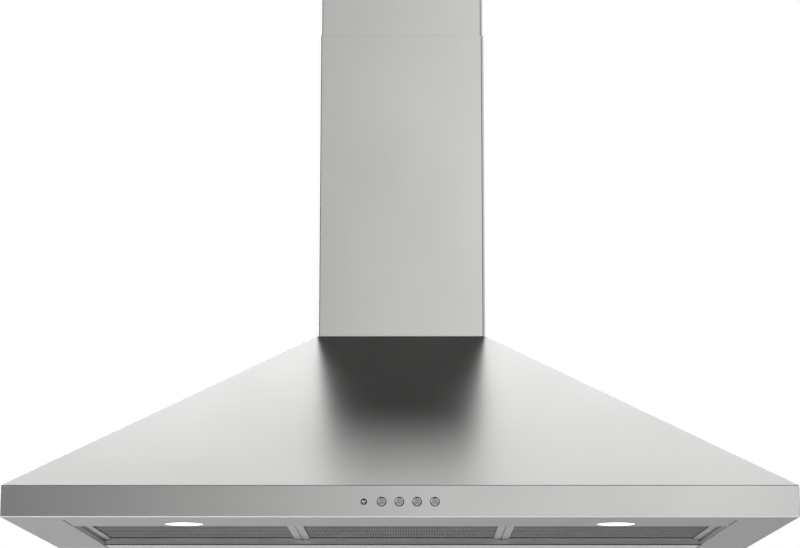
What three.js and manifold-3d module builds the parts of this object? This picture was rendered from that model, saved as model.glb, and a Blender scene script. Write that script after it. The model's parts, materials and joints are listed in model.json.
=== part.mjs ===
// A wall-mounted pyramid chimney hood in brushed steel, with three grease filters, two lamps,
// four push buttons, a double-inlet blower and a telescoping chimney cover.
// Millimetres, +Z up, +X right. The wall is the plane y = 0 and the hood faces -Y.
// Inside the hood group z = 0 is the underside; the exported group puts the origin
// on the wall at the height of the hanging keyholes.

import * as THREE from 'three';
import { mergeVertices } from 'three/addons/utils/BufferGeometryUtils.js';
import { ConvexGeometry } from 'three/addons/geometries/ConvexGeometry.js';
import Module from 'manifold-3d';

const wasm = await Module();
wasm.setup();

// ---- Driving dimensions -------------------------------------------------------------------

// Hood body
const HOOD_WIDTH = 900;
const HOOD_DEPTH = 440;
const BAND_HEIGHT = 36;
const CANOPY_RISE = 209;
const SHEET = 1;
const CORNER_RADIUS = 3;
const FOLD_RADIUS = 1.2;
const FIT = 0.3;
const CANOPY_LAP = 8;
const REAR_FLANGE = 12;
const HANGING_HEIGHT = 170;
const KEYHOLE_SPACING = 240;
const KEYHOLE_RADIUS = 6;
const KEYHOLE_SLOT_RADIUS = 3;
const KEYHOLE_SLOT_RISE = 12;

// Chimney
const CHIMNEY_WIDTH = 209;
const CHIMNEY_DEPTH = 210;
const COVER_SHEET = 0.8;
const COVER_RETURN = 15;
const LOWER_COVER_LENGTH = 388;
const UPPER_COVER_LENGTH = 370;
const UPPER_COVER_SHOWING = 48;
const UPSTAND_HEIGHT = 12;
const COVER_SCREW_SETBACK = 52;
const BRACKET_HEIGHT = 22;
const BRACKET_SHEET = 1.5;
const BRACKET_DROP = 5;
const BRACKET_PLATE_WIDTH = 140;
const BRACKET_OFFSET = 14;
const BRACKET_WING = 20;
const BRACKET_SCREW_INSET = 8;
const SCREW_RADIUS = 2;
const SCREW_HEAD_RADIUS = 3.6;
const SCREW_HEAD_HEIGHT = 1.8;
const SCREW_LENGTH = 9;

// Underside
const APRON_DEPTH = 115;
const FLANGE_WIDTH = 67;
const MITRE_DEPTH = 34;
const MITRE_GROOVE = 0.4;
const SEAM_GAP = 0.6;
const REAR_RAIL_DEPTH = 49;
const FILTER_RECESS = 7;
const TRAY_LAP = 10;
const SHELF_DEPTH = 19;

// Lamps
const LAMP_SPACING = 500;
const LAMP_SETBACK = 82;
const LAMP_BODY_RADIUS = 22;
const LAMP_RIM = 2;
const LAMP_RIM_HEIGHT = 0.8;
const LAMP_BODY_HEIGHT = 22;
const LAMP_WALL = 1.6;
const LENS_THICKNESS = 2.4;
const LENS_EDGE = 1;

// Controls
const BUTTON_COUNT = 4;
const BUTTON_PITCH = 20;
const BUTTON_RADIUS = 5.15;
const BUTTON_PROUD = 2.6;
const BUTTON_TRAVEL = 1.8;
const BUTTON_STEM_RADIUS = 2.2;
const BUTTON_STEM_LENGTH = 6;
const BUTTON_COLLAR = 1.2;
const BUTTON_COLLAR_WIDTH = 1;
const BUTTON_CHAMFER = 0.9;
const CONTROL_HEIGHT = 17.5;
const INDICATOR_RADIUS = 3.3;
const INDICATOR_PROUD = 0.8;
const INDICATOR_CROWN_RADIUS = 2;
const SWITCH_BOX_END = 14;
const SWITCH_BOX_HEIGHT = 20;
const SWITCH_BOX_DEPTH = 24;
const SWITCH_POCKET_DEPTH = 4.6;
const SWITCH_TERMINAL = [6, 5, 0.8];

// Grease filters
const FILTER_COUNT = 3;
const FILTER_GAP = 0.5;
const FILTER_FRONT_GAP = 0.8;
const FILTER_THICKNESS = 9;
const FILTER_BAR = 9.5;
const FILTER_WALL = 0.9;
const FILTER_GROOVE = 6;
const FILTER_CORNER = 2.5;
const TAB_WIDTH = 18;
const TAB_LENGTH = 7;
const TAB_SPACING = 160;
const NET_THICKNESS = 1.2;
const NET_COLUMNS = 6;
const NET_ROWS = 5;
const NET_STRAND = 3.2;
const NET_MARGIN = 6;
const CORE_WAVES = 9;
const CORE_SHEET = 0.8;
const LATCH_TONGUE = [46, 24];
const LATCH_SLOT = [9, 13];
const LATCH_PLATE = [22, 15, 1.2];
const LATCH_NECK = [8, 6];
const LATCH_GRIP = [18, 8, 4];
const LATCH_NOSE = [10, 0.2];
const LATCH_TRAVEL = 6;

// Blower
const BLOWER_SHEET = 0.9;
const BLOWER_SIDE_GAP = 1.4;
const BLOWER_FRONT_GAP = 7.9;
const BLOWER_HEIGHT = 225;
const BLOWER_FLANGE = 9;
const BLOWER_SCREW_INSET = 23;
const BLOWER_SCREW_LENGTH = 5;
const BLOWER_BACK_GAP = 14;
const THROAT_MARGIN = 6;
const FAN_AXIS_SETBACK = 78;
const FAN_AXIS_RISE = 100;
const FAN_RADIUS = 60;
const FAN_INNER_RADIUS = 49;
const FAN_LENGTH = 82;
const FAN_RING = 2;
const FAN_BLADES = 24;
const BLADE_THICKNESS = 1.1;
const BLADE_SWEEP = 11;
const HUB_RADIUS = 11;
const HUB_LENGTH = 16;
const SHAFT_RADIUS = 4;
const SHAFT_CHAMFER = 0.8;
const SCROLL_TONGUE_RADIUS = 66;
const SCROLL_FRONT_GAP = 18;
const SCROLL_TONGUE_ANGLE = 70;
const SCROLL_WIDTH = 92;
const SCROLL_WALL = 1.5;
const SCROLL_OUTLET_BACK = -8;
const INLET_RADIUS = 53;
const INLET_LIP = 5;
const MOTOR_RADIUS = 36;
const MOTOR_LENGTH = 50;
const MOTOR_CAP = 9;
const MOTOR_GAP = 3;
const MOTOR_SIDE_GAP = 10;
const MOTOR_RIBS = 3;
const MOTOR_RIB_DEPTH = 1;
const MOTOR_CAP_STEP = 3;
const MOTOR_CAP_SHOULDER = 7;
const MOTOR_BOSS_RADIUS = 12;
const BRACKET_RING = 4;
const BRACKET_RING_WIDTH = 12;
const BRACKET_ARM_WIDTH = 10;
const BRACKET_ARM_SHEET = 2.5;
const BRACKET_FOOT = 9;
const BRACKET_ARMS = 3;

// Outlet
const OUTLET_RADIUS = 75;
const OUTLET_WALL = 2;
const OUTLET_MARGIN = [6, 2];
const OUTLET_FLANGE_WIDTH = [8, 7];
const OUTLET_TRANSITION = 22;
const OUTLET_SPIGOT = 46;
const OUTLET_CORNER = 8;
const BEAD_HEIGHT = 1.2;
const BEAD_WIDTH = 6;
const BEAD_SETBACK = 6;
const FLAP_SEAT = 4;
const FLAP_SEAT_HEIGHT = 2;
const FLAP_THICKNESS = 1.2;
const FLAP_CLEARANCE = 1.5;
const DAMPER_ROD_RADIUS = 2;
const KNUCKLE_RADIUS = 4;
const KNUCKLE_COUNT = 4;
const KNUCKLE_LENGTH = 26;
const FLAP_WEB_LAP = 2;
const BEARING_WIDTH = 9;
const BEARING_THICKNESS = 5;
const STIFFENER_WIDTH = 3;
const STIFFENER_DEPTH = 2;

// Electrics on the back panel and the side flange
const TERMINAL_BOX = [92, 34, 56];
const TERMINAL_BOX_PLACE = [-150, 66];
const LID_THICKNESS = 4;
const LID_INSET = 1;
const LID_LAP = 0.5;
const LID_RIB = [2, 34, 0.8];
const GLAND_BODY_RADIUS = 9;
const GLAND_HEXAGON_RADIUS = 10.4;
const GLAND_HEXAGON_HEIGHT = 6;
const GLAND_SPIGOT_LENGTH = 6;
const GLAND_SHOULDER = 5;
const GLAND_LIP_RADIUS = 6.3;
const GLAND_BORE_RADIUS = 4;
const GLAND_HEIGHT = 20;
const GLAND_SPIGOT_RADIUS = 7;
const CAPACITOR_RADIUS = 15;
const CAPACITOR_LENGTH = 58;
const CAPACITOR_EDGE = 1.5;
const BLADE_TERMINAL = [0.8, 6, 7];
const BLADE_SPACING = 13.5;
const CAPACITOR_PLACE = [60, 64];
const CLIP_WIDTH = 14;
const CLIP_SHEET = 1;
const CLIP_EAR = 12;
const DRIVER_BOX = [44, 110, 22];
const DRIVER_SETBACK = 190;
const DRIVER_EAR = [26, 12, 2];
const DRIVER_ENTRY = [10, 5, 6];

// Facets of round parts
const SEGMENTS = 20;
const SMALL_SEGMENTS = 12;
const SCREW_SEGMENTS = 8;
const BUTTON_SEGMENTS = 16;
const MOTOR_SEGMENTS = 16;
const CORNER_STEPS = 3;

// ---- Values worked out from the driving dimensions ------------------------------------------

const FRONT = -HOOD_DEPTH;
const HALF_WIDTH = HOOD_WIDTH / 2;
const CANOPY_TOP = BAND_HEIGHT + CANOPY_RISE;
const PANEL_FACE = -SHEET;
const PANEL_FIT = PANEL_FACE - FIT;
const CHIMNEY_HALF = CHIMNEY_WIDTH / 2;
const LOWER_COVER_TOP = CANOPY_TOP + FIT + LOWER_COVER_LENGTH;
const UPPER_HALF = CHIMNEY_HALF - COVER_SHEET - FIT;
const UPPER_FRONT = -CHIMNEY_DEPTH + COVER_SHEET + FIT;
const UPPER_REAR = -COVER_SHEET - FIT;
const UPPER_COVER_TOP = LOWER_COVER_TOP + UPPER_COVER_SHOWING;
const RECESS_HALF = HALF_WIDTH - FLANGE_WIDTH;
const APRON_REAR = FRONT + APRON_DEPTH;
const RAIL_FRONT = -REAR_RAIL_DEPTH;
const TRAY_FLOOR = SHEET + FIT;
const FILTER_TOP = FILTER_RECESS + FILTER_THICKNESS;
const FILTER_WIDTH = (2 * RECESS_HALF - (FILTER_COUNT + 1) * FILTER_GAP) / FILTER_COUNT;
const FILTER_PITCH = FILTER_WIDTH + FILTER_GAP;
const FILTER_DEPTH = RAIL_FRONT - APRON_REAR - FILTER_GAP - FILTER_FRONT_GAP;
const BLOWER_FLOOR = CANOPY_TOP + FIT;
const BLOWER_TOP = BLOWER_FLOOR + BLOWER_HEIGHT;
const BLOWER_WIDTH = 2 * (UPPER_HALF - SHEET - BLOWER_SIDE_GAP - BLOWER_FLANGE);
const BLOWER_REAR = -BLOWER_BACK_GAP;
const BLOWER_FRONT = UPPER_FRONT + SHEET + BLOWER_FRONT_GAP;
const BLOWER_DEPTH = BLOWER_REAR - BLOWER_FRONT;
const BLOWER_MIDDLE = (BLOWER_REAR + BLOWER_FRONT) / 2;
const FAN_AXIS_Y = BLOWER_REAR - FAN_AXIS_SETBACK;
const FAN_AXIS_Z = BLOWER_FLOOR + FAN_AXIS_RISE;
const MOTOR_LEFT = -BLOWER_WIDTH / 2 + MOTOR_SIDE_GAP;
const MOTOR_RIGHT = MOTOR_LEFT + MOTOR_LENGTH;
const SCROLL_CENTRE_X = MOTOR_RIGHT + MOTOR_GAP + SCROLL_WIDTH / 2;
const SCROLL_END_RADIUS = BLOWER_DEPTH - FAN_AXIS_SETBACK - SCROLL_FRONT_GAP;
const OUTLET_FLANGE = [BLOWER_WIDTH - 2 * OUTLET_MARGIN[0], BLOWER_DEPTH - 2 * OUTLET_MARGIN[1]];
const OUTLET_BASE = OUTLET_FLANGE.map((size, index) => size - 2 * OUTLET_FLANGE_WIDTH[index]);
const OUTLET_FLOOR = BLOWER_TOP + FIT;
const OUTLET_NECK = OUTLET_FLOOR + OUTLET_WALL + OUTLET_TRANSITION;
const OUTLET_RIM = OUTLET_NECK + OUTLET_SPIGOT;
const FLAP_FLOOR = OUTLET_NECK + FLAP_SEAT_HEIGHT + FIT;

const halfWidthAt = (z) => HALF_WIDTH - ((z - BAND_HEIGHT) * (HALF_WIDTH - CHIMNEY_HALF)) / CANOPY_RISE;
const frontAt = (z) => FRONT + ((z - BAND_HEIGHT) * (HOOD_DEPTH - CHIMNEY_DEPTH)) / CANOPY_RISE;

// ---- Materials ------------------------------------------------------------------------------

const metal = (color, roughness) => new THREE.MeshStandardMaterial({ color, roughness, metalness: 1 });
const plastic = (color, roughness) => new THREE.MeshStandardMaterial({ color, roughness, metalness: 0 });
const brushedSteel = () => metal(0xc4c5c4, 0.32);
const galvanised = () => metal(0xa9adb0, 0.45);
const zincPlated = () => metal(0xb9bcbe, 0.3);
const netAluminium = () => metal(0x9a9c9e, 0.4);
const frameAluminium = () => metal(0xc8c9ca, 0.35);
const blackPlastic = () => plastic(0x26282a, 0.55);
const whitePlastic = () => plastic(0xdedfdc, 0.5);
const greyPlastic = () => plastic(0x8b8f92, 0.5);
const lampLens = () =>
  new THREE.MeshStandardMaterial({ color: 0xffffff, emissive: 0xfff6e6, roughness: 0.25, metalness: 0 });

// ---- Geometry helpers -----------------------------------------------------------------------

// A closed geometry as a solid for cutting and joining.
function solid(geometry) {
  const bare = geometry.clone();
  bare.deleteAttribute('normal');
  bare.deleteAttribute('uv');
  const merged = mergeVertices(bare, 1e-4);
  const triVerts = new Uint32Array(merged.index.array);
  const vertProperties = merged.attributes.position.array;
  return new wasm.Manifold(new wasm.Mesh({ numProp: 3, vertProperties, triVerts }));
}

// A solid back as a three.js geometry.
function geometryOf(body) {
  const mesh = body.getMesh();
  const geometry = new THREE.BufferGeometry();
  geometry.setAttribute('position', new THREE.BufferAttribute(new Float32Array(mesh.vertProperties), 3));
  geometry.setIndex(new THREE.BufferAttribute(new Uint32Array(mesh.triVerts), 1));
  geometry.computeVertexNormals();
  return geometry;
}

// Everything in `added` joined, with everything in `removed` cut away.
function shape(added, removed = []) {
  const whole = added.map(solid).reduce((body, next) => body.add(next));
  return geometryOf(removed.map(solid).reduce((body, next) => body.subtract(next), whole));
}

function block(x0, x1, y0, y1, z0, z1) {
  const geometry = new THREE.BoxGeometry(x1 - x0, y1 - y0, z1 - z0);
  return geometry.translate((x0 + x1) / 2, (y0 + y1) / 2, (z0 + z1) / 2);
}

// A block centred on the Z axis.
const slab = (width, depth, z0, z1) => block(-width / 2, width / 2, -depth / 2, depth / 2, z0, z1);

function prism(outline, z0, z1, curveSegments = CORNER_STEPS) {
  const geometry = new THREE.ExtrudeGeometry(outline, { depth: z1 - z0, bevelEnabled: false, curveSegments });
  return geometry.translate(0, 0, z0);
}

// A round bar on the Z axis.
function rod(radius, z0, z1, segments = SEGMENTS) {
  const geometry = new THREE.CylinderGeometry(radius, radius, z1 - z0, segments);
  return geometry.rotateX(Math.PI / 2).translate(0, 0, (z0 + z1) / 2);
}

// A profile of [radius, height] points turned about the Z axis.
function turned(profile, segments = SEGMENTS) {
  const points = profile.map(([radius, height]) => new THREE.Vector2(radius, height));
  return new THREE.LatheGeometry(points, segments).rotateX(Math.PI / 2);
}

// A ring of square section on the Z axis.
function ring(inner, outer, z0, z1, segments = SEGMENTS) {
  const profile = [[inner, z0], [outer, z0], [outer, z1], [inner, z1], [inner, z0]];
  return turned(profile, segments);
}

// Turns a piece drawn on the Z axis so that Z runs along X, X along Y and Y along Z.
function alongX(geometry) {
  const axes = new THREE.Matrix4().makeBasis(
    new THREE.Vector3(0, 1, 0),
    new THREE.Vector3(0, 0, 1),
    new THREE.Vector3(1, 0, 0),
  );
  return geometry.applyMatrix4(axes);
}

// Turns a piece drawn on the Z axis so that it points back along +Y, with its Y down.
const alongY = (geometry) => geometry.rotateX(-Math.PI / 2);

// Stands a plan drawn in X and Y upright, with its Y as height and its thickness towards -Y.
const upright = (geometry) => geometry.rotateX(Math.PI / 2);

// The outline of a rectangle with round corners.
function roundedRectangle(x0, x1, y0, y1, radius) {
  const outline = new THREE.Shape();
  outline.absarc(x1 - radius, y0 + radius, radius, -Math.PI / 2, 0);
  outline.absarc(x1 - radius, y1 - radius, radius, 0, Math.PI / 2);
  outline.absarc(x0 + radius, y1 - radius, radius, Math.PI / 2, Math.PI);
  outline.absarc(x0 + radius, y0 + radius, radius, Math.PI, (3 * Math.PI) / 2);
  outline.closePath();
  return outline;
}

// The points of a rounded rectangle at height z; the rear corners stay square at the wall side.
function hoodRing(halfWidth, front, rear, z, radius) {
  const points = [new THREE.Vector3(halfWidth, rear, z), new THREE.Vector3(-halfWidth, rear, z)];
  for (let step = 0; step <= CORNER_STEPS; step++) {
    const angle = (step / CORNER_STEPS) * (Math.PI / 2);
    const inX = radius * (1 - Math.cos(angle));
    const inY = radius * (1 - Math.sin(angle));
    points.push(new THREE.Vector3(halfWidth - inX, front + inY, z));
    points.push(new THREE.Vector3(-halfWidth + inX, front + inY, z));
  }
  return points;
}

// ---- Hood body ------------------------------------------------------------------------------

// Pyramid of sheet: the slopes, a top plate with the blower throat, the upstand that the lower
// cover slips over, the lap inside the band and the flange along the back panel.
function canopyShell() {
  const sideRun = HALF_WIDTH - CHIMNEY_HALF;
  const frontRun = HOOD_DEPTH - CHIMNEY_DEPTH;
  const sideInset = (SHEET * Math.hypot(CANOPY_RISE, sideRun)) / CANOPY_RISE;
  const frontInset = (SHEET * Math.hypot(CANOPY_RISE, frontRun)) / CANOPY_RISE;
  const ceiling = CANOPY_TOP - SHEET;
  const foot = BAND_HEIGHT + FIT;
  const seam = foot + SHEET / 2;
  const lapHalf = HALF_WIDTH - SHEET - FIT;
  const lapFront = FRONT + SHEET + FIT;
  const lapFoot = BAND_HEIGHT - CANOPY_LAP;
  const behind = 0;
  const outer = new ConvexGeometry([
    ...hoodRing(halfWidthAt(foot), frontAt(foot), PANEL_FIT, foot, CORNER_RADIUS),
    ...hoodRing(CHIMNEY_HALF, -CHIMNEY_DEPTH, PANEL_FIT, CANOPY_TOP, CORNER_RADIUS),
  ]);
  const lap = new ConvexGeometry([
    ...hoodRing(lapHalf, lapFront, PANEL_FIT, lapFoot, CORNER_RADIUS),
    ...hoodRing(lapHalf, lapFront, PANEL_FIT, seam, CORNER_RADIUS),
  ]);
  const upstand = new ConvexGeometry([
    ...hoodRing(UPPER_HALF, UPPER_FRONT, PANEL_FIT, ceiling, CORNER_RADIUS),
    ...hoodRing(UPPER_HALF, UPPER_FRONT, PANEL_FIT, CANOPY_TOP + UPSTAND_HEIGHT, CORNER_RADIUS),
  ]);
  const hollow = new ConvexGeometry([foot, ceiling].flatMap((z) =>
    hoodRing(halfWidthAt(z) - sideInset, frontAt(z) + frontInset, behind, z, CORNER_RADIUS)));
  const lapHollow = new ConvexGeometry([
    ...hoodRing(lapHalf - SHEET, lapFront + SHEET, behind, lapFoot - SHEET, CORNER_RADIUS),
    ...hoodRing(lapHalf - SHEET, lapFront + SHEET, behind, foot, CORNER_RADIUS),
  ]);
  const upstandHollow = block(
    -UPPER_HALF + SHEET, UPPER_HALF - SHEET,
    UPPER_FRONT + SHEET, PANEL_FIT - SHEET,
    CANOPY_TOP, CANOPY_TOP + 2 * UPSTAND_HEIGHT,
  );
  const throat = block(
    -BLOWER_WIDTH / 2 + THROAT_MARGIN, BLOWER_WIDTH / 2 - THROAT_MARGIN,
    BLOWER_FRONT + THROAT_MARGIN, BLOWER_REAR - THROAT_MARGIN,
    ceiling - SHEET, CANOPY_TOP + SHEET,
  );
  const screwHoles = blowerScrewPlaces().map(([x, y]) =>
    rod(SCREW_RADIUS + FIT, ceiling - SHEET, CANOPY_TOP + SHEET, SMALL_SEGMENTS).translate(x, y, 0));
  const body = [outer, lap, upstand].map(solid).reduce((whole, next) => whole.add(next));
  const shell = [hollow, lapHollow, upstandHollow, throat, ...screwHoles].map(solid)
    .reduce((whole, next) => whole.subtract(next), body);
  const flangeFoot = foot + 2 * SHEET;
  const edge = backCorners(flangeFoot, CANOPY_TOP, 0);
  const window = backCorners(flangeFoot, ceiling - SHEET, REAR_FLANGE + sideInset);
  const flangeOutline = new THREE.Shape([
    edge[0], window[0], window[3], window[2], window[1], edge[1], edge[2], edge[3],
  ]);
  const flange = solid(upright(prism(flangeOutline, -PANEL_FIT, -PANEL_FIT + SHEET)));
  const coverScrewHoles = coverScrewPlaces().map((at) => solid(screwHoleX(at)));
  return geometryOf(coverScrewHoles.reduce((cut, hole) => cut.subtract(hole), shell.add(flange)));
}

// Corners of the pyramid's back between two heights, moved inwards by `inset`, from the low left
// one round to the high left one.
function backCorners(low, high, inset) {
  return [
    new THREE.Vector2(-halfWidthAt(low) + inset, low),
    new THREE.Vector2(halfWidthAt(low) - inset, low),
    new THREE.Vector2(halfWidthAt(high) - inset, high),
    new THREE.Vector2(-halfWidthAt(high) + inset, high),
  ];
}

// Clearance hole along X for a screw.
function screwHoleX([x, y, z]) {
  return alongX(rod(SCREW_RADIUS + FIT, -SCREW_LENGTH, SCREW_LENGTH, SMALL_SEGMENTS)).translate(x, y, z);
}

// Band with its folded bottom: front apron with the lamp holes and a flange at each side.
function skirtBand() {
  const foldPoint = FOLD_RADIUS * (1 - Math.SQRT1_2);
  const levels = [[0, FOLD_RADIUS], [foldPoint, foldPoint], [FOLD_RADIUS, 0], [BAND_HEIGHT, 0]];
  const outer = new ConvexGeometry(levels.flatMap(([z, inset]) =>
    hoodRing(HALF_WIDTH - inset, FRONT + inset, PANEL_FIT, z, CORNER_RADIUS)));
  const inside = new ConvexGeometry([
    ...hoodRing(HALF_WIDTH - SHEET, FRONT + SHEET, SHEET, SHEET, CORNER_RADIUS - SHEET),
    ...hoodRing(HALF_WIDTH - SHEET, FRONT + SHEET, SHEET, BAND_HEIGHT + SHEET, CORNER_RADIUS - SHEET),
  ]);
  const opening = block(-RECESS_HALF, RECESS_HALF, APRON_REAR, SHEET, -SHEET, 2 * SHEET);
  const seams = [-1, 1].map((side) => block(
    Math.min(side * RECESS_HALF, side * (RECESS_HALF + SEAM_GAP)),
    Math.max(side * RECESS_HALF, side * (RECESS_HALF + SEAM_GAP)),
    FRONT + MITRE_DEPTH, SHEET, -SHEET, 2 * SHEET,
  ));
  const mitreLength = Math.hypot(FLANGE_WIDTH, MITRE_DEPTH) - 2 * CORNER_RADIUS;
  const mitres = [-1, 1].map((side) => {
    const groove = slab(mitreLength, SEAM_GAP, -SHEET, MITRE_GROOVE);
    groove.rotateZ(side * Math.atan2(-MITRE_DEPTH, FLANGE_WIDTH));
    return groove.translate(side * (HALF_WIDTH - FLANGE_WIDTH / 2), FRONT + MITRE_DEPTH / 2, 0);
  });
  const lampHoles = lampPlaces().map(([x, y]) =>
    rod(LAMP_BODY_RADIUS + FIT, -SHEET, 2 * SHEET).translate(x, y, 0));
  const buttonHoles = buttonPlaces().map((x) =>
    alongY(rod(BUTTON_RADIUS + FIT, -SHEET, 2 * SHEET)).translate(x, FRONT, CONTROL_HEIGHT));
  const indicatorHole = alongY(rod(INDICATOR_RADIUS + FIT, -SHEET, 2 * SHEET))
    .translate(indicatorPlace(), FRONT, CONTROL_HEIGHT);
  return shape([outer], [inside, opening, ...seams, ...mitres, ...lampHoles, ...buttonHoles, indicatorHole]);
}

// Rear sheet: the pyramid's back with two keyholes, folded forward at the bottom as the rear rail.
function backPanel() {
  const outline = new THREE.Shape([
    new THREE.Vector2(-HALF_WIDTH, 0),
    new THREE.Vector2(HALF_WIDTH, 0),
    new THREE.Vector2(HALF_WIDTH, BAND_HEIGHT),
    new THREE.Vector2(CHIMNEY_HALF, CANOPY_TOP),
    new THREE.Vector2(-CHIMNEY_HALF, CANOPY_TOP),
    new THREE.Vector2(-HALF_WIDTH, BAND_HEIGHT),
  ]);
  const keyholes = keyholePlaces().flatMap(([x, z]) => {
    const slotTop = z + KEYHOLE_SLOT_RISE;
    const bore = (radius) => upright(rod(radius, -SHEET, 2 * SHEET, SMALL_SEGMENTS));
    const mouth = bore(KEYHOLE_RADIUS).translate(x, 0, z);
    const slotEnd = bore(KEYHOLE_SLOT_RADIUS).translate(x, 0, slotTop);
    const slot = block(x - KEYHOLE_SLOT_RADIUS, x + KEYHOLE_SLOT_RADIUS, -2 * SHEET, SHEET, z, slotTop);
    return [mouth, slotEnd, slot];
  });
  const rail = block(-RECESS_HALF + FIT, RECESS_HALF - FIT, RAIL_FRONT, -SHEET / 2, 0, SHEET);
  return shape([upright(prism(outline, 0, SHEET)), rail], keyholes);
}

// Recess walls round the filters, lapped on the apron, the side flanges and the rear rail.
function filterTray() {
  const lap = RECESS_HALF + SEAM_GAP + TRAY_LAP;
  const wallTop = FILTER_TOP + SHEET;
  const floorTop = TRAY_FLOOR + SHEET;
  const railRear = PANEL_FIT - REAR_FLANGE / 2;
  const floor = block(-lap, lap, APRON_REAR - TRAY_LAP, railRear, TRAY_FLOOR, floorTop);
  const walls = block(
    -RECESS_HALF - SHEET, RECESS_HALF + SHEET, APRON_REAR - SHEET, RAIL_FRONT + SHEET, TRAY_FLOOR, wallTop);
  const well = block(-RECESS_HALF, RECESS_HALF, APRON_REAR, RAIL_FRONT, TRAY_FLOOR - SHEET, wallTop + SHEET);
  const shelfTop = FILTER_RECESS - FIT;
  const overShelf = block(
    -RECESS_HALF, RECESS_HALF, RAIL_FRONT - SHEET, RAIL_FRONT + 2 * SHEET, shelfTop, wallTop + SHEET);
  const shelf = block(
    -RECESS_HALF - SHEET, RECESS_HALF + SHEET,
    RAIL_FRONT, RAIL_FRONT + SHELF_DEPTH, shelfTop - SHEET, shelfTop);
  const shelfStop = block(
    -RECESS_HALF - SHEET, RECESS_HALF + SHEET,
    RAIL_FRONT + SHELF_DEPTH - SHEET, RAIL_FRONT + SHELF_DEPTH, TRAY_FLOOR, wallTop);
  return shape([floor, walls, shelf, shelfStop], [well, overShelf]);
}

// ---- Chimney --------------------------------------------------------------------------------

// Plan of a cover: a U of sheet open to the wall, with round bends and a return at each rear edge.
function coverPlan(half, front, rear) {
  const bend = CORNER_RADIUS;
  const inner = CORNER_RADIUS - COVER_SHEET;
  const plan = new THREE.Shape();
  plan.moveTo(half - COVER_RETURN, rear);
  plan.lineTo(half - COVER_RETURN, rear - COVER_SHEET);
  plan.lineTo(half - COVER_SHEET, rear - COVER_SHEET);
  plan.absarc(half - bend, front + bend, inner, 0, -Math.PI / 2, true);
  plan.absarc(-half + bend, front + bend, inner, -Math.PI / 2, -Math.PI, true);
  plan.lineTo(-half + COVER_SHEET, rear - COVER_SHEET);
  plan.lineTo(-half + COVER_RETURN, rear - COVER_SHEET);
  plan.lineTo(-half + COVER_RETURN, rear);
  plan.lineTo(-half, rear);
  plan.absarc(-half + bend, front + bend, bend, Math.PI, (3 * Math.PI) / 2);
  plan.absarc(half - bend, front + bend, bend, (3 * Math.PI) / 2, 2 * Math.PI);
  plan.lineTo(half, rear);
  plan.closePath();
  return plan;
}

function lowerCover() {
  const body = prism(coverPlan(CHIMNEY_HALF, -CHIMNEY_DEPTH, 0), CANOPY_TOP + FIT, LOWER_COVER_TOP);
  return shape([body], coverScrewPlaces().map(screwHoleX));
}

function upperCover() {
  const plan = coverPlan(UPPER_HALF, UPPER_FRONT, UPPER_REAR);
  const body = prism(plan, UPPER_COVER_TOP - UPPER_COVER_LENGTH, UPPER_COVER_TOP);
  return shape([body], bracketScrewPlaces().map(screwHoleX));
}

// Bent strip: a plate on the wall, two webs forward, and a wing along each side of the cover.
function chimneyBracket() {
  const wing = UPPER_HALF - COVER_SHEET - FIT;
  const plate = BRACKET_PLATE_WIDTH / 2;
  const back = -BRACKET_OFFSET;
  const z1 = UPPER_COVER_TOP - BRACKET_DROP;
  const z0 = z1 - BRACKET_HEIGHT;
  const pieces = [block(-plate, plate, -BRACKET_SHEET, 0, z0, z1)];
  for (const side of [-1, 1]) {
    const across = (a, b) => [Math.min(side * a, side * b), Math.max(side * a, side * b)];
    pieces.push(block(...across(plate - BRACKET_SHEET, plate), back, 0, z0, z1));
    pieces.push(block(...across(plate - BRACKET_SHEET, wing), back - BRACKET_SHEET, back, z0, z1));
    pieces.push(block(...across(wing - BRACKET_SHEET, wing), back - BRACKET_WING, back, z0, z1));
  }
  return shape(pieces, bracketScrewPlaces().map(screwHoleX));
}

// Pan-head screw, its head's underside at z = 0 and its shank towards -Z.
function screw(length) {
  const head = SCREW_HEAD_RADIUS;
  const profile = [
    [0, -length], [SCREW_RADIUS, -length], [SCREW_RADIUS, 0], [head, 0],
    [head, SCREW_HEAD_HEIGHT / 2], [SCREW_RADIUS, SCREW_HEAD_HEIGHT], [0, SCREW_HEAD_HEIGHT],
  ];
  return turned(profile, SCREW_SEGMENTS);
}

// ---- Lamps and controls -----------------------------------------------------------------------

// Lamp can with a rim under the apron; its open face is at z = 0, on the underside of the rim.
function lampHousing() {
  const bore = LAMP_BODY_RADIUS - LAMP_WALL;
  const seat = LAMP_RIM_HEIGHT + FIT + LENS_THICKNESS;
  const rim = LAMP_BODY_RADIUS + LAMP_RIM;
  const top = LAMP_BODY_HEIGHT;
  const chamfer = LAMP_RIM_HEIGHT / 2;
  return turned([
    [bore, 0], [rim - chamfer, 0], [rim, chamfer], [rim, LAMP_RIM_HEIGHT],
    [LAMP_BODY_RADIUS, LAMP_RIM_HEIGHT], [LAMP_BODY_RADIUS, top - 2 * LAMP_WALL],
    [LAMP_BODY_RADIUS - 2 * LAMP_WALL, top], [0, top],
    [0, top - LAMP_WALL], [bore - LAMP_WALL, top - LAMP_WALL],
    [bore - LAMP_WALL, seat], [bore, seat], [bore, 0],
  ]);
}

function lensDisc() {
  const radius = LAMP_BODY_RADIUS - LAMP_WALL - FIT;
  return turned([[0, 0], [radius - LENS_EDGE, LENS_EDGE / 3], [radius, LENS_EDGE],
    [radius, LENS_THICKNESS], [0, LENS_THICKNESS]]);
}

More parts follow.
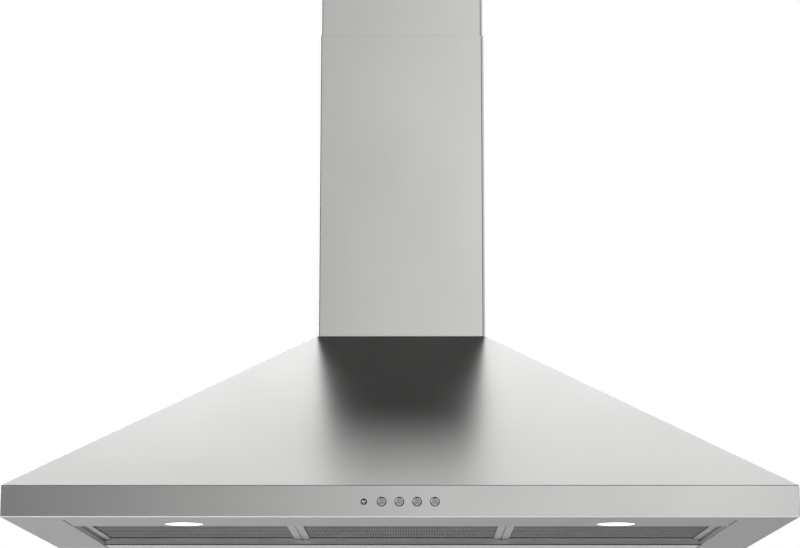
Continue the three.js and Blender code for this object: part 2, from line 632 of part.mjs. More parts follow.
// Button cap with its retaining collar and stem; y = 0 is the band's outer face.
function pushButton() {
  const stemEnd = SHEET + FIT + BUTTON_COLLAR + BUTTON_STEM_LENGTH;
  const collar = SHEET + FIT;
  const crown = BUTTON_RADIUS - BUTTON_CHAMFER;
  const collarRadius = BUTTON_RADIUS + BUTTON_COLLAR_WIDTH;
  return alongY(turned([
    [0, -BUTTON_PROUD], [crown, -BUTTON_PROUD],
    [BUTTON_RADIUS, BUTTON_CHAMFER - BUTTON_PROUD], [BUTTON_RADIUS, collar],
    [collarRadius, collar], [collarRadius, collar + BUTTON_COLLAR],
    [BUTTON_STEM_RADIUS, collar + BUTTON_COLLAR], [BUTTON_STEM_RADIUS, stemEnd], [0, stemEnd],
  ], BUTTON_SEGMENTS));
}

function indicatorLens() {
  const length = SHEET + SWITCH_POCKET_DEPTH + BUTTON_STEM_LENGTH / 2;
  return alongY(turned([
    [0, -INDICATOR_PROUD], [INDICATOR_CROWN_RADIUS, -0.8 * INDICATOR_PROUD], [INDICATOR_RADIUS, 0],
    [INDICATOR_RADIUS, length], [0, length],
  ], SMALL_SEGMENTS));
}

// Housing of the four switches: a front pocket for the button collars and a guide bore per stem.
function switchBox() {
  const left = indicatorPlace() - SWITCH_BOX_END;
  const right = Math.max(...buttonPlaces()) + SWITCH_BOX_END;
  const front = FRONT + SHEET + FIT;
  const pocketFloor = front + SWITCH_POCKET_DEPTH;
  const low = CONTROL_HEIGHT - SWITCH_BOX_HEIGHT / 2;
  const high = CONTROL_HEIGHT + SWITCH_BOX_HEIGHT / 2;
  const body = block(left, right, front, front + SWITCH_BOX_DEPTH, low, high);
  const wall = SHEET + FIT;
  const pocket = block(left + wall, right - wall, front - SHEET, pocketFloor, low + wall, high - wall);
  const bore = (x, radius, depth) =>
    alongY(rod(radius + FIT, 0, depth, SMALL_SEGMENTS)).translate(x, FRONT, CONTROL_HEIGHT);
  const stemDepth = 2 * SHEET + BUTTON_COLLAR + BUTTON_STEM_LENGTH + BUTTON_TRAVEL + 2 * FIT;
  const bores = buttonPlaces().map((x) => bore(x, BUTTON_STEM_RADIUS, stemDepth));
  const indicatorDepth = SHEET + SWITCH_POCKET_DEPTH + BUTTON_STEM_LENGTH;
  const indicatorBore = bore(indicatorPlace(), INDICATOR_RADIUS, indicatorDepth);
  const [terminalWidth, terminalLength, terminalSheet] = SWITCH_TERMINAL;
  const boxRear = front + SWITCH_BOX_DEPTH;
  const terminals = buttonPlaces().map((x) => slab(terminalWidth, 2 * terminalLength, 0, terminalSheet)
    .translate(x, boxRear, CONTROL_HEIGHT - terminalSheet / 2));
  return shape([body, ...terminals], [pocket, ...bores, indicatorBore]);
}

// ---- Grease filters ---------------------------------------------------------------------------
// Drawn with the hinge axis at y = 0 and the underside at z = 0; the filter runs towards -Y.

const filterFrontEnd = -FILTER_DEPTH;
const latchMiddle = filterFrontEnd + FILTER_BAR + LATCH_SLOT[1] / 2 + FILTER_WALL;

// Channel frame with round corners, rear tabs and a slotted tongue for the latch.
function filterFrame() {
  const half = FILTER_WIDTH / 2;
  const outer = prism(roundedRectangle(-half, half, filterFrontEnd, 0, FILTER_CORNER), 0, FILTER_THICKNESS);
  const window = block(
    -half + FILTER_BAR, half - FILTER_BAR, filterFrontEnd + FILTER_BAR, -FILTER_BAR,
    -SHEET, FILTER_THICKNESS + SHEET);
  const grooveSide = half - FILTER_BAR + FILTER_GROOVE;
  const grooveEnd = FILTER_BAR - FILTER_GROOVE;
  const groove = block(
    -grooveSide, grooveSide, filterFrontEnd + grooveEnd, -grooveEnd,
    FILTER_WALL, FILTER_THICKNESS - FILTER_WALL);
  const tongueRear = filterFrontEnd + LATCH_TONGUE[1];
  const tongue = block(
    -LATCH_TONGUE[0] / 2, LATCH_TONGUE[0] / 2, filterFrontEnd + grooveEnd, tongueRear, 0, FILTER_WALL);
  const slot = slab(...LATCH_SLOT, -SHEET, FILTER_WALL + SHEET).translate(0, latchMiddle, 0);
  const noseSlot = block(
    -LATCH_NOSE[0] / 2 - FIT, LATCH_NOSE[0] / 2 + FIT,
    filterFrontEnd - SHEET, filterFrontEnd + FILTER_BAR + SHEET,
    FILTER_WALL, FILTER_WALL + LATCH_PLATE[2] + 2 * FIT);
  const tab = block(-TAB_WIDTH / 2, TAB_WIDTH / 2, -grooveEnd, TAB_LENGTH, 0, SHEET);
  const tabs = [-1, 1].map((side) => tab.clone().translate(side * TAB_SPACING / 2, 0, 0));
  const cut = shape([outer], [window, groove, noseSlot]);
  return shape([cut, tongue, ...tabs], [slot]);
}

// Half sizes of what seats in the frame's groove.
const padHalf = FILTER_WIDTH / 2 - FILTER_BAR + FILTER_GROOVE - FIT;
const padRear = -(FILTER_BAR - FILTER_GROOVE) - FIT;
const padFront = filterFrontEnd - padRear;
const netFloor = FILTER_WALL + FIT;
const netTop = netFloor + NET_THICKNESS;

// Face net of expanded metal: staggered diamond openings with even strands between them.
function filterNet() {
  const outline = new THREE.Shape([
    new THREE.Vector2(-padHalf, padFront),
    new THREE.Vector2(padHalf, padFront),
    new THREE.Vector2(padHalf, padRear),
    new THREE.Vector2(-padHalf, padRear),
  ]);
  const margin = FILTER_BAR - FILTER_GROOVE + NET_MARGIN;
  const cellX = (2 * (padHalf - margin)) / NET_COLUMNS;
  const cellY = (padRear - padFront - 2 * margin) / NET_ROWS;
  const slope = Math.hypot(cellX, cellY);
  const holeX = cellX / 2 - (NET_STRAND / 2) * (slope / cellY);
  const holeY = cellY / 2 - (NET_STRAND / 2) * (slope / cellX);
  const keepClear = LATCH_TONGUE[0] / 2 + holeX;
  const notchRear = filterFrontEnd + LATCH_TONGUE[1] + LATCH_TRAVEL + FIT;
  const diamond = (x, y) => new THREE.Path([
    new THREE.Vector2(x - holeX, y),
    new THREE.Vector2(x, y + holeY),
    new THREE.Vector2(x + holeX, y),
    new THREE.Vector2(x, y - holeY),
  ]);
  for (let row = 1; row < 2 * NET_ROWS; row++) {
    const y = padFront + margin + (row * cellY) / 2;
    const first = row % 2 === 1 ? 0.5 : 1;
    for (let column = first; column < NET_COLUMNS; column++) {
      const x = -padHalf + margin + column * cellX;
      const nearLatch = Math.abs(x) < keepClear && y - holeY < notchRear + FIT;
      if (!nearLatch) outline.holes.push(diamond(x, y));
    }
  }
  const notch = block(
    -LATCH_TONGUE[0] / 2 - FIT, LATCH_TONGUE[0] / 2 + FIT, padFront - SHEET, notchRear, 0, FILTER_THICKNESS);
  return shape([prism(outline, netFloor, netTop)], [notch]);
}

// Corrugated core sheet above the net, its waves running across the filter.
function filterCore() {
  const low = netTop + FIT;
  const high = FILTER_THICKNESS - FILTER_WALL - FIT;
  const middle = (low + high) / 2;
  const swing = (high - low - CORE_SHEET) / 2;
  const front = filterFrontEnd + LATCH_TONGUE[1] + 2 * FIT;
  const length = padRear - front;
  const stepsPerWave = 4;
  const steps = CORE_WAVES * stepsPerWave;
  const lower = [];
  const upper = [];
  for (let step = 0; step <= steps; step++) {
    const y = front + (length * step) / steps;
    const z = middle + swing * Math.cos((step / stepsPerWave) * 2 * Math.PI);
    lower.push(new THREE.Vector2(y, z - CORE_SHEET / 2));
    upper.push(new THREE.Vector2(y, z + CORE_SHEET / 2));
  }
  const section = new THREE.Shape([...lower, ...upper.reverse()]);
  return alongX(prism(section, -padHalf, padHalf));
}

// Sliding latch: a plate above the tongue, a neck through the slot, a finger grip below and a nose.
function filterLatch() {
  const plateFloor = FILTER_WALL + FIT;
  const plateTop = plateFloor + LATCH_PLATE[2];
  const neckMiddle = latchMiddle - (LATCH_SLOT[1] - LATCH_NECK[1]) / 2 + FIT;
  const plate = slab(LATCH_PLATE[0], LATCH_PLATE[1], plateFloor, plateTop).translate(0, latchMiddle - FIT, 0);
  const neck = slab(...LATCH_NECK, -2 * FIT, plateTop).translate(0, neckMiddle, 0);
  const grip = slab(LATCH_GRIP[0], LATCH_GRIP[1], -LATCH_GRIP[2], -FIT).translate(0, neckMiddle, 0);
  const scoop = alongX(rod(LATCH_GRIP[2] - 2 * FIT, -LATCH_GRIP[0], LATCH_GRIP[0], SMALL_SEGMENTS))
    .translate(0, neckMiddle - LATCH_GRIP[1] / 2 - 2 * FIT, -LATCH_GRIP[2]);
  const nose = block(
    -LATCH_NOSE[0] / 2, LATCH_NOSE[0] / 2, filterFrontEnd - LATCH_NOSE[1], latchMiddle, plateFloor, plateTop);
  return shape([plate, neck, grip, nose], [scoop]);
}

// ---- Blower -------------------------------------------------------------------------------------

// Folded box over the throat, open below, with a flange on the canopy's top plate.
function blowerBox() {
  const half = BLOWER_WIDTH / 2;
  const body = block(-half, half, BLOWER_FRONT, BLOWER_REAR, BLOWER_FLOOR, BLOWER_TOP);
  const flange = block(
    -half - BLOWER_FLANGE, half + BLOWER_FLANGE, BLOWER_FRONT, BLOWER_REAR,
    BLOWER_FLOOR, BLOWER_FLOOR + BLOWER_SHEET);
  const inside = block(
    -half + BLOWER_SHEET, half - BLOWER_SHEET, BLOWER_FRONT + BLOWER_SHEET, BLOWER_REAR - BLOWER_SHEET,
    BLOWER_FLOOR - SHEET, BLOWER_TOP - BLOWER_SHEET);
  const [outletFront, outletRear] = scrollOutlet();
  const outlet = block(
    SCROLL_CENTRE_X - SCROLL_WIDTH / 2 + SCROLL_WALL, SCROLL_CENTRE_X + SCROLL_WIDTH / 2 - SCROLL_WALL,
    outletFront, outletRear, BLOWER_TOP - 2 * BLOWER_SHEET, BLOWER_TOP + SHEET);
  const hole = rod(
    SCREW_RADIUS + FIT, BLOWER_FLOOR - SHEET, BLOWER_FLOOR + 2 * BLOWER_SHEET, SMALL_SEGMENTS);
  const holes = blowerScrewPlaces().map(([x, y]) => hole.clone().translate(x, y, 0));
  return shape([body, flange], [inside, outlet, ...holes]);
}

// Front and rear limits of the scroll's mouth in the hood's frame.
function scrollOutlet() {
  return [FAN_AXIS_Y - SCROLL_END_RADIUS + SCROLL_WALL, FAN_AXIS_Y - SCROLL_OUTLET_BACK - SCROLL_WALL];
}

// Section of the scroll about the fan's axis: a logarithmic spiral from the tongue to the front,
// then straight up to the mouth. Drawn in (y, z), moved inwards by `inset`.
function scrollSection(inset, mouth) {
  const turn = 2 * Math.PI;
  const tongue = THREE.MathUtils.degToRad(SCROLL_TONGUE_ANGLE);
  const growth = Math.log(SCROLL_END_RADIUS / SCROLL_TONGUE_RADIUS) / (turn - tongue);
  const steps = SEGMENTS;
  const points = [];
  for (let step = 0; step <= steps; step++) {
    const angle = tongue + ((turn - tongue) * step) / steps;
    const radius = SCROLL_TONGUE_RADIUS * Math.exp(growth * (angle - tongue)) - inset;
    points.push(new THREE.Vector2(-radius * Math.cos(angle), radius * Math.sin(angle)));
  }
  points.push(new THREE.Vector2(-SCROLL_END_RADIUS + inset, mouth));
  points.push(new THREE.Vector2(-SCROLL_OUTLET_BACK - inset, mouth));
  return new THREE.Shape(points);
}

// Scroll housing about the X axis: curved wrapper, two side plates, and a lipped inlet in each.
function scrollHousing() {
  const mouth = BLOWER_TOP - BLOWER_SHEET - FIT - FAN_AXIS_Z;
  const half = SCROLL_WIDTH / 2;
  const outer = alongX(prism(scrollSection(0, mouth), -half, half));
  const air = half - SCROLL_WALL;
  const inner = alongX(prism(scrollSection(SCROLL_WALL, mouth + SHEET), -air, air));
  const lips = [-1, 1].map((side) => {
    const lip = ring(INLET_RADIUS, INLET_RADIUS + SCROLL_WALL, half - SCROLL_WALL, half + INLET_LIP);
    return alongX(side > 0 ? lip : lip.rotateX(Math.PI));
  });
  const inlets = alongX(rod(INLET_RADIUS, -2 * half, 2 * half));
  return shape([outer, ...lips], [inner, inlets]);
}

// Double-inlet impeller about the X axis: forward-curved blades between two end rings,
// with a centre disc and a hub.
function impeller() {
  const half = FAN_LENGTH / 2;
  const sweep = THREE.MathUtils.degToRad(BLADE_SWEEP);
  const arc = (radius, angle) => new THREE.Vector2(radius * Math.cos(angle), radius * Math.sin(angle));
  const pitchAngle = BLADE_THICKNESS / FAN_RADIUS;
  const middle = (FAN_RADIUS + FAN_INNER_RADIUS) / 2;
  const blade = new THREE.Shape();
  const tip = arc(FAN_RADIUS - FAN_RING / 4, sweep);
  const root = arc(FAN_INNER_RADIUS, 0);
  const bend = arc(middle + FAN_RING, -sweep / 4);
  const tipBack = arc(FAN_RADIUS - FAN_RING / 4, sweep + pitchAngle);
  const rootBack = arc(FAN_INNER_RADIUS, pitchAngle);
  const bendBack = arc(middle + FAN_RING - BLADE_THICKNESS / 2, -sweep / 4 + pitchAngle);
  blade.moveTo(root.x, root.y);
  blade.quadraticCurveTo(bend.x, bend.y, tip.x, tip.y);
  blade.lineTo(tipBack.x, tipBack.y);
  blade.quadraticCurveTo(bendBack.x, bendBack.y, rootBack.x, rootBack.y);
  blade.closePath();
  const blades = Array.from({ length: FAN_BLADES }, (_, index) =>
    prism(blade, -half + FAN_RING / 2, half - FAN_RING / 2).rotateZ((index / FAN_BLADES) * 2 * Math.PI));
  const rings = [-1, 1].map((side) => {
    const low = side < 0 ? -half : half - FAN_RING;
    return ring(FAN_INNER_RADIUS - FAN_RING / 2, FAN_RADIUS, low, low + FAN_RING, FAN_BLADES);
  });
  const disc = rod(FAN_RADIUS - FAN_RING, -FAN_RING / 2, FAN_RING / 2, FAN_BLADES);
  const hub = rod(HUB_RADIUS, -HUB_LENGTH / 2, HUB_LENGTH / 2, SMALL_SEGMENTS);
  const bore = rod(SHAFT_RADIUS + FIT, -HUB_LENGTH, HUB_LENGTH, SMALL_SEGMENTS);
  return alongX(shape([disc, hub, ...rings, ...blades], [bore]));
}

// Motor about the X axis: ribbed stator stack between two domed end caps, with a bore for the shaft.
function motor() {
  const capRadius = MOTOR_RADIUS - MOTOR_CAP_STEP;
  const shoulder = capRadius - MOTOR_CAP_SHOULDER;
  const capFace = MOTOR_CAP / 3;
  const ribs = [];
  const stackLow = MOTOR_CAP;
  const stackHigh = MOTOR_LENGTH - MOTOR_CAP;
  const pitch = (stackHigh - stackLow) / MOTOR_RIBS;
  for (let rib = 0; rib < MOTOR_RIBS; rib++) {
    const low = stackLow + rib * pitch;
    const high = low + pitch;
    const groove = MOTOR_RADIUS - MOTOR_RIB_DEPTH;
    ribs.push([MOTOR_RADIUS, low], [MOTOR_RADIUS, high - 3 * MOTOR_RIB_DEPTH]);
    ribs.push([groove, high - 2 * MOTOR_RIB_DEPTH], [groove, high - MOTOR_RIB_DEPTH]);
  }
  const bore = SHAFT_RADIUS + FIT;
  const boss = MOTOR_BOSS_RADIUS;
  return alongX(turned([
    [bore, 0], [boss, 0], [boss, capFace], [shoulder, capFace], [capRadius, stackLow],
    ...ribs, [capRadius, stackHigh], [shoulder, MOTOR_LENGTH - capFace],
    [boss, MOTOR_LENGTH - capFace], [boss, MOTOR_LENGTH], [bore, MOTOR_LENGTH], [bore, 0],
  ], MOTOR_SEGMENTS));
}

// Spider that holds the motor in the left inlet: a ring round the stator and arms to the side plate.
function motorBracket() {
  const inner = MOTOR_RADIUS + FIT;
  const outer = inner + BRACKET_RING;
  const reach = INLET_RADIUS + SCROLL_WALL + BRACKET_FOOT;
  const plateFace = SCROLL_CENTRE_X - SCROLL_WIDTH / 2 - FIT - MOTOR_LEFT;
  const ringHigh = plateFace - INLET_LIP - FIT;
  const ringLow = ringHigh - BRACKET_RING_WIDTH;
  const side = BRACKET_ARM_WIDTH / 2;
  const armLow = ringHigh - BRACKET_ARM_SHEET;
  const arms = Array.from({ length: BRACKET_ARMS }, (_, index) => {
    const arm = block(inner + BRACKET_RING / 2, reach, -side, side, armLow, ringHigh);
    const foot = block(reach - BRACKET_FOOT + 2 * FIT, reach, -side, side, armLow, plateFace);
    const angle = (index / BRACKET_ARMS) * 2 * Math.PI + Math.PI / 6;
    return [arm.rotateZ(angle), foot.rotateZ(angle)];
  }).flat();
  return alongX(shape([ring(inner, outer, ringLow, ringHigh, MOTOR_SEGMENTS), ...arms]));
}

function motorShaft() {
  const end = SCROLL_CENTRE_X + HUB_LENGTH / 2 + FIT;
  const tip = SHAFT_RADIUS - SHAFT_CHAMFER;
  const length = end - MOTOR_LEFT - 2 * FIT;
  return alongX(turned([
    [0, 0], [tip, 0], [SHAFT_RADIUS, SHAFT_CHAMFER], [SHAFT_RADIUS, length - SHAFT_CHAMFER],
    [tip, length], [0, length],
  ], SMALL_SEGMENTS));
}

// ---- Outlet ---------------------------------------------------------------------------------------

function squareRing(width, depth, z) {
  const points = [];
  for (const x of [-1, 1]) {
    for (const y of [-1, 1]) {
      points.push(new THREE.Vector3(x * (width / 2 - OUTLET_CORNER), (y * depth) / 2, z));
      points.push(new THREE.Vector3((x * width) / 2, y * (depth / 2 - OUTLET_CORNER), z));
    }
  }
  return points;
}

function roundRing(radius, z) {
  return Array.from({ length: SEGMENTS }, (_, index) => {
    const angle = (index / SEGMENTS) * 2 * Math.PI;
    return new THREE.Vector3(radius * Math.cos(angle), radius * Math.sin(angle), z);
  });
}

// Square-to-round outlet with a flange on the box, a flap seat and a round spigot for the duct.
function outletCollar() {
  const [width, depth] = OUTLET_BASE;
  const floor = OUTLET_FLOOR;
  const wall = OUTLET_WALL;
  const outer = new ConvexGeometry([
    ...squareRing(width, depth, floor + wall), ...roundRing(OUTLET_RADIUS, OUTLET_NECK)]);
  const inner = new ConvexGeometry([
    ...squareRing(width - 2 * wall, depth - 2 * wall, floor + wall),
    ...roundRing(OUTLET_RADIUS - wall, OUTLET_NECK)]);
  const mouth = new ConvexGeometry([
    ...squareRing(width - 2 * wall, depth - 2 * wall, floor - wall),
    ...squareRing(width - 2 * wall, depth - 2 * wall, floor + wall)]);
  const flange = slab(...OUTLET_FLANGE, floor, floor + wall);
  const spigot = rod(OUTLET_RADIUS, OUTLET_NECK, OUTLET_RIM);
  const beadRoot = OUTLET_RADIUS - wall / 2;
  const beadMiddle = OUTLET_RIM - BEAD_SETBACK;
  const bead = turned([
    [beadRoot, beadMiddle - BEAD_WIDTH / 2], [OUTLET_RADIUS + BEAD_HEIGHT, beadMiddle],
    [beadRoot, beadMiddle + BEAD_WIDTH / 2], [beadRoot, beadMiddle - BEAD_WIDTH / 2],
  ]);
  const bore = rod(OUTLET_RADIUS - wall, OUTLET_NECK + FLAP_SEAT_HEIGHT, OUTLET_RIM + wall);
  const seatBore = rod(OUTLET_RADIUS - wall - FLAP_SEAT, OUTLET_NECK - wall, OUTLET_RIM);
  const rodEars = [-1, 1].map((side) => {
    const bearing = slab(BEARING_THICKNESS, BEARING_WIDTH, OUTLET_NECK, damperAxis + BEARING_WIDTH / 2);
    return bearing.translate(side * (OUTLET_RADIUS - wall - BEARING_THICKNESS / 2 + FIT), 0, 0);
  });
  const cut = shape([outer, spigot, flange, bead], [inner, mouth, bore, seatBore]);
  const reach = OUTLET_RADIUS - wall / 2;
  const rodHole = alongX(rod(DAMPER_ROD_RADIUS + FIT, -reach, reach, SMALL_SEGMENTS));
  return shape([cut, ...rodEars], [rodHole.translate(0, 0, damperAxis)]);
}

const damperAxis = FLAP_FLOOR + FLAP_THICKNESS / 2;
const rodHalf = OUTLET_RADIUS - OUTLET_WALL / 2 - FIT;

// Half-moon flap with knuckles on the rod, drawn about the rod's axis. The same piece turned
// half round meshes with it, because the knuckles alternate.
function damperFlap() {
  const radius = OUTLET_RADIUS - OUTLET_WALL - FLAP_CLEARANCE;
  const clear = KNUCKLE_RADIUS + 2 * FIT;
  const start = Math.asin(clear / radius);
  const outline = new THREE.Shape();
  outline.absarc(0, 0, radius, start, Math.PI - start);
  outline.closePath();
  const face = FLAP_THICKNESS / 2;
  const plate = prism(outline, -face, face, SEGMENTS / 2);
  const first = (-KNUCKLE_COUNT / 2) * KNUCKLE_LENGTH;
  const knuckles = [];
  for (let index = 0; index < KNUCKLE_COUNT; index += 2) {
    const low = first + index * KNUCKLE_LENGTH + FIT;
    const high = low + KNUCKLE_LENGTH - 2 * FIT;
    knuckles.push(alongX(rod(KNUCKLE_RADIUS, low, high, SMALL_SEGMENTS)));
    knuckles.push(block(low, high, DAMPER_ROD_RADIUS, clear + FLAP_WEB_LAP, -face, face));
  }
  const bore = alongX(rod(DAMPER_ROD_RADIUS + FIT, -OUTLET_RADIUS, OUTLET_RADIUS, SMALL_SEGMENTS));
  const stiffener = block(-radius / 2, radius / 2, clear + STIFFENER_WIDTH, clear + 2 * STIFFENER_WIDTH,
    -face - STIFFENER_DEPTH, 0);
  const bearingReach = BEARING_WIDTH * Math.SQRT1_2 + 2 * FIT;
  const earGap = slab(4 * BEARING_THICKNESS, 2 * bearingReach, -FLAP_THICKNESS, FLAP_THICKNESS);
  const earGaps = [-1, 1].map((side) =>
    earGap.clone().translate(side * (OUTLET_RADIUS - OUTLET_WALL + BEARING_THICKNESS), 0, 0));
  return shape([plate, stiffener, ...knuckles], [bore, ...earGaps]);
}

// ---- Electrics ----------------------------------------------------------------------------------

// Terminal box: a body, a screwed lid with three ribs, and a bore in its top for the gland.
function terminalBox() {
  const [width, depth, height] = TERMINAL_BOX;
  const [ribWidth, ribLength, ribHeight] = LID_RIB;
  const lidFloor = depth - LID_THICKNESS;
  const side = width / 2;
  const outline = (inset) =>
    roundedRectangle(-side + inset, side - inset, inset, height - inset, CORNER_RADIUS);
  const body = prism(outline(0), 0, lidFloor);
  const lid = prism(outline(LID_INSET), lidFloor - LID_LAP, depth);
  const rib = slab(ribWidth, ribLength, depth - LID_LAP, depth + ribHeight);
  const ribs = [-1, 0, 1].map((step) => rib.clone().translate((step * width) / 4, height / 2, 0));
  const glandBore = rod(GLAND_SPIGOT_RADIUS + FIT, -depth, depth, SMALL_SEGMENTS);
  glandBore.rotateX(Math.PI / 2).translate(0, height, depth / 2);
  return upright(shape([body, lid, ...ribs], [glandBore]));
}

// Cable gland: a spigot in the box, a hexagon, and a round nut over an open bore.
function cableGland() {
  const bore = GLAND_BORE_RADIUS;
  const nutFloor = GLAND_HEXAGON_HEIGHT - SHEET;
  const shoulder = GLAND_HEIGHT - GLAND_SHOULDER;
  const spigot = ring(bore, GLAND_SPIGOT_RADIUS, -GLAND_SPIGOT_LENGTH, SHEET, SMALL_SEGMENTS);
  const hexagon = ring(bore, GLAND_HEXAGON_RADIUS, 0, GLAND_HEXAGON_HEIGHT, 6);
  const nut = turned([
    [bore, nutFloor], [GLAND_BODY_RADIUS, nutFloor], [GLAND_BODY_RADIUS, shoulder],
    [GLAND_LIP_RADIUS, GLAND_HEIGHT], [bore, GLAND_HEIGHT], [bore, nutFloor],
  ], SMALL_SEGMENTS);
  return shape([spigot, hexagon, nut], [rod(bore, -GLAND_HEIGHT, 2 * GLAND_HEIGHT, SMALL_SEGMENTS)]);
}

// Run capacitor: a can with rolled edges and two blade terminals on top.
function capacitor() {
  const radius = CAPACITOR_RADIUS;
  const edge = CAPACITOR_EDGE;
  const top = CAPACITOR_LENGTH;
  const [bladeSheet, bladeWidth, bladeLength] = BLADE_TERMINAL;
  const can = turned([
    [0, 0], [radius - edge, 0], [radius, edge], [radius, top - edge], [radius - edge, top], [0, top],
  ]);
  const blades = [-1, 1].map((side) =>
    slab(bladeSheet, bladeWidth, top - SHEET, top + bladeLength).translate((side * BLADE_SPACING) / 2, 0, 0));
  return shape([can, ...blades]);
}

// Strap that holds the capacitor against the back panel, with an ear at each side.
function capacitorClip() {
  const inner = CAPACITOR_RADIUS + FIT;
  const outer = inner + CLIP_SHEET;
  const ears = block(-outer - CLIP_EAR, outer + CLIP_EAR, 0, CLIP_SHEET, 0, CLIP_WIDTH);
  const saddle = block(-outer, outer, 0, inner, 0, CLIP_WIDTH);
  const arch = rod(outer, 0, CLIP_WIDTH).translate(0, inner, 0);
  const hollow = rod(inner, -SHEET, CLIP_WIDTH + SHEET).translate(0, inner, 0);
  const gap = block(-inner, inner, -SHEET, inner, -SHEET, CLIP_WIDTH + SHEET);
  return shape([ears, saddle, arch], [hollow, gap]).rotateZ(Math.PI);
}

// Lamp driver: a box with a screw ear and a wire entry at each end.
function lampDriver() {
  const [width, depth, height] = DRIVER_BOX;
  const [earWidth, earLength, earSheet] = DRIVER_EAR;
  const [entryWidth, entryDepth, entryHeight] = DRIVER_ENTRY;
  const body = slab(width, depth, 0, height);
  const ears = slab(earWidth, depth + 2 * earLength, 0, earSheet);
  const entries = [-1, 1].map((side) =>
    slab(entryWidth, 2 * entryDepth, entryHeight, 2 * entryHeight).translate(0, (side * depth) / 2, 0));
  const hole = rod(SCREW_RADIUS, -SHEET, earSheet + SHEET, SMALL_SEGMENTS);
  const holes = [-1, 1].map((side) => hole.clone().translate(0, (side * (depth + earLength)) / 2, 0));
  return shape([body, ears], [...entries, ...holes]);
}

// ---- Places ---------------------------------------------------------------------------------------

function lampPlaces() {
  return [-1, 1].map((side) => [(side * LAMP_SPACING) / 2, FRONT + LAMP_SETBACK]);
}

// The indicator and the buttons stand in one row, centred on the hood.
function indicatorPlace() {
  return (-BUTTON_COUNT * BUTTON_PITCH) / 2;
}

function buttonPlaces() {
  return Array.from({ length: BUTTON_COUNT }, (_, index) => indicatorPlace() + (index + 1) * BUTTON_PITCH);
}

function keyholePlaces() {
  return [-1, 1].map((side) => [(side * KEYHOLE_SPACING) / 2, HANGING_HEIGHT - KEYHOLE_SLOT_RISE]);
}

function filterPlaces() {
  return Array.from({ length: FILTER_COUNT }, (_, index) => (index - (FILTER_COUNT - 1) / 2) * FILTER_PITCH);
}

function blowerScrewPlaces() {
  const x = BLOWER_WIDTH / 2 + BLOWER_FLANGE / 2;
  const rows = [BLOWER_FRONT + BLOWER_SCREW_INSET, BLOWER_REAR - BLOWER_SCREW_INSET];
  return rows.flatMap((y) => [[-x, y], [x, y]]);
}

function coverScrewPlaces() {
  const z = CANOPY_TOP + UPSTAND_HEIGHT / 2 + FIT;
  return [-1, 1].map((side) => [side * (CHIMNEY_HALF + FIT), -COVER_SCREW_SETBACK, z]);
}

function bracketScrewPlaces() {
  const y = -BRACKET_OFFSET - BRACKET_WING + BRACKET_SCREW_INSET;
  const z = UPPER_COVER_TOP - BRACKET_DROP - BRACKET_HEIGHT / 2;
  return [-1, 1].map((side) => [side * (UPPER_HALF + FIT), y, z]);
}

// ---- Assembly -------------------------------------------------------------------------------------

const hood = new THREE.Group();
hood.position.z = -HANGING_HEIGHT;

function place(name, geometry, material, x = 0, y = 0, z = 0, parent = hood) {
  const mesh = new THREE.Mesh(geometry, material);
  mesh.name = name;
  mesh.position.set(x, y, z);
  parent.add(mesh);
  return mesh;
}

place('canopy_shell', canopyShell(), brushedSteel());
place('skirt_band', skirtBand(), brushedSteel());
place('back_panel', backPanel(), brushedSteel());
place('filter_tray', filterTray(), brushedSteel());
place('lower_chimney_cover', lowerCover(), brushedSteel());

const upperChimney = new THREE.Group();
hood.add(upperChimney);
place('upper_chimney_cover', upperCover(), brushedSteel(), 0, 0, 0, upperChimney);
place('chimney_bracket', chimneyBracket(), galvanised(), 0, 0, 0, upperChimney);

const sideNames = ['left', 'right'];
lampPlaces().forEach(([x, y], index) => {
  const side = sideNames[index];
  const rimFloor = -LAMP_RIM_HEIGHT - FIT;
  place(`lamp_housing_${side}`, lampHousing(), zincPlated(), x, y, rimFloor);
  place(`lamp_lens_${side}`, lensDisc(), lampLens(), x, y, rimFloor + LAMP_RIM_HEIGHT);
});

coverScrewPlaces().forEach(([x, y, z], index) => {
  const head = place(`cover_screw_${sideNames[index]}`, screw(SCREW_LENGTH), zincPlated(), x, y, z);
  head.rotation.y = ((index === 0 ? -1 : 1) * Math.PI) / 2;
});
bracketScrewPlaces().forEach(([x, y, z], index) => {
  const name = `bracket_screw_${sideNames[index]}`;
  const head = place(name, screw(SCREW_LENGTH), zincPlated(), x, y, z, upperChimney);
  head.rotation.y = ((index === 0 ? -1 : 1) * Math.PI) / 2;
});

place('switch_box', switchBox(), blackPlastic());
place('indicator_lens', indicatorLens(), plastic(0xc8402c, 0.3), indicatorPlace(), FRONT, CONTROL_HEIGHT);
buttonPlaces().forEach((x, index) => {
  place(`push_button_${index + 1}`, pushButton(), metal(0xd0d1d0, 0.25), x, FRONT, CONTROL_HEIGHT);
});

const filterNames = ['left', 'centre', 'right'];
filterPlaces().forEach((x, index) => {
  const filter = new THREE.Group();
  filter.position.set(x, RAIL_FRONT - FILTER_GAP, FILTER_RECESS);
  hood.add(filter);
  const side = filterNames[index] ?? index + 1;
  place(`filter_frame_${side}`, filterFrame(), frameAluminium(), 0, 0, 0, filter);
  place(`filter_net_${side}`, filterNet(), netAluminium(), 0, 0, 0, filter);
  place(`filter_core_${side}`, filterCore(), netAluminium(), 0, 0, 0, filter);
  place(`filter_latch_${side}`, filterLatch(), blackPlastic(), 0, 0, 0, filter);
});

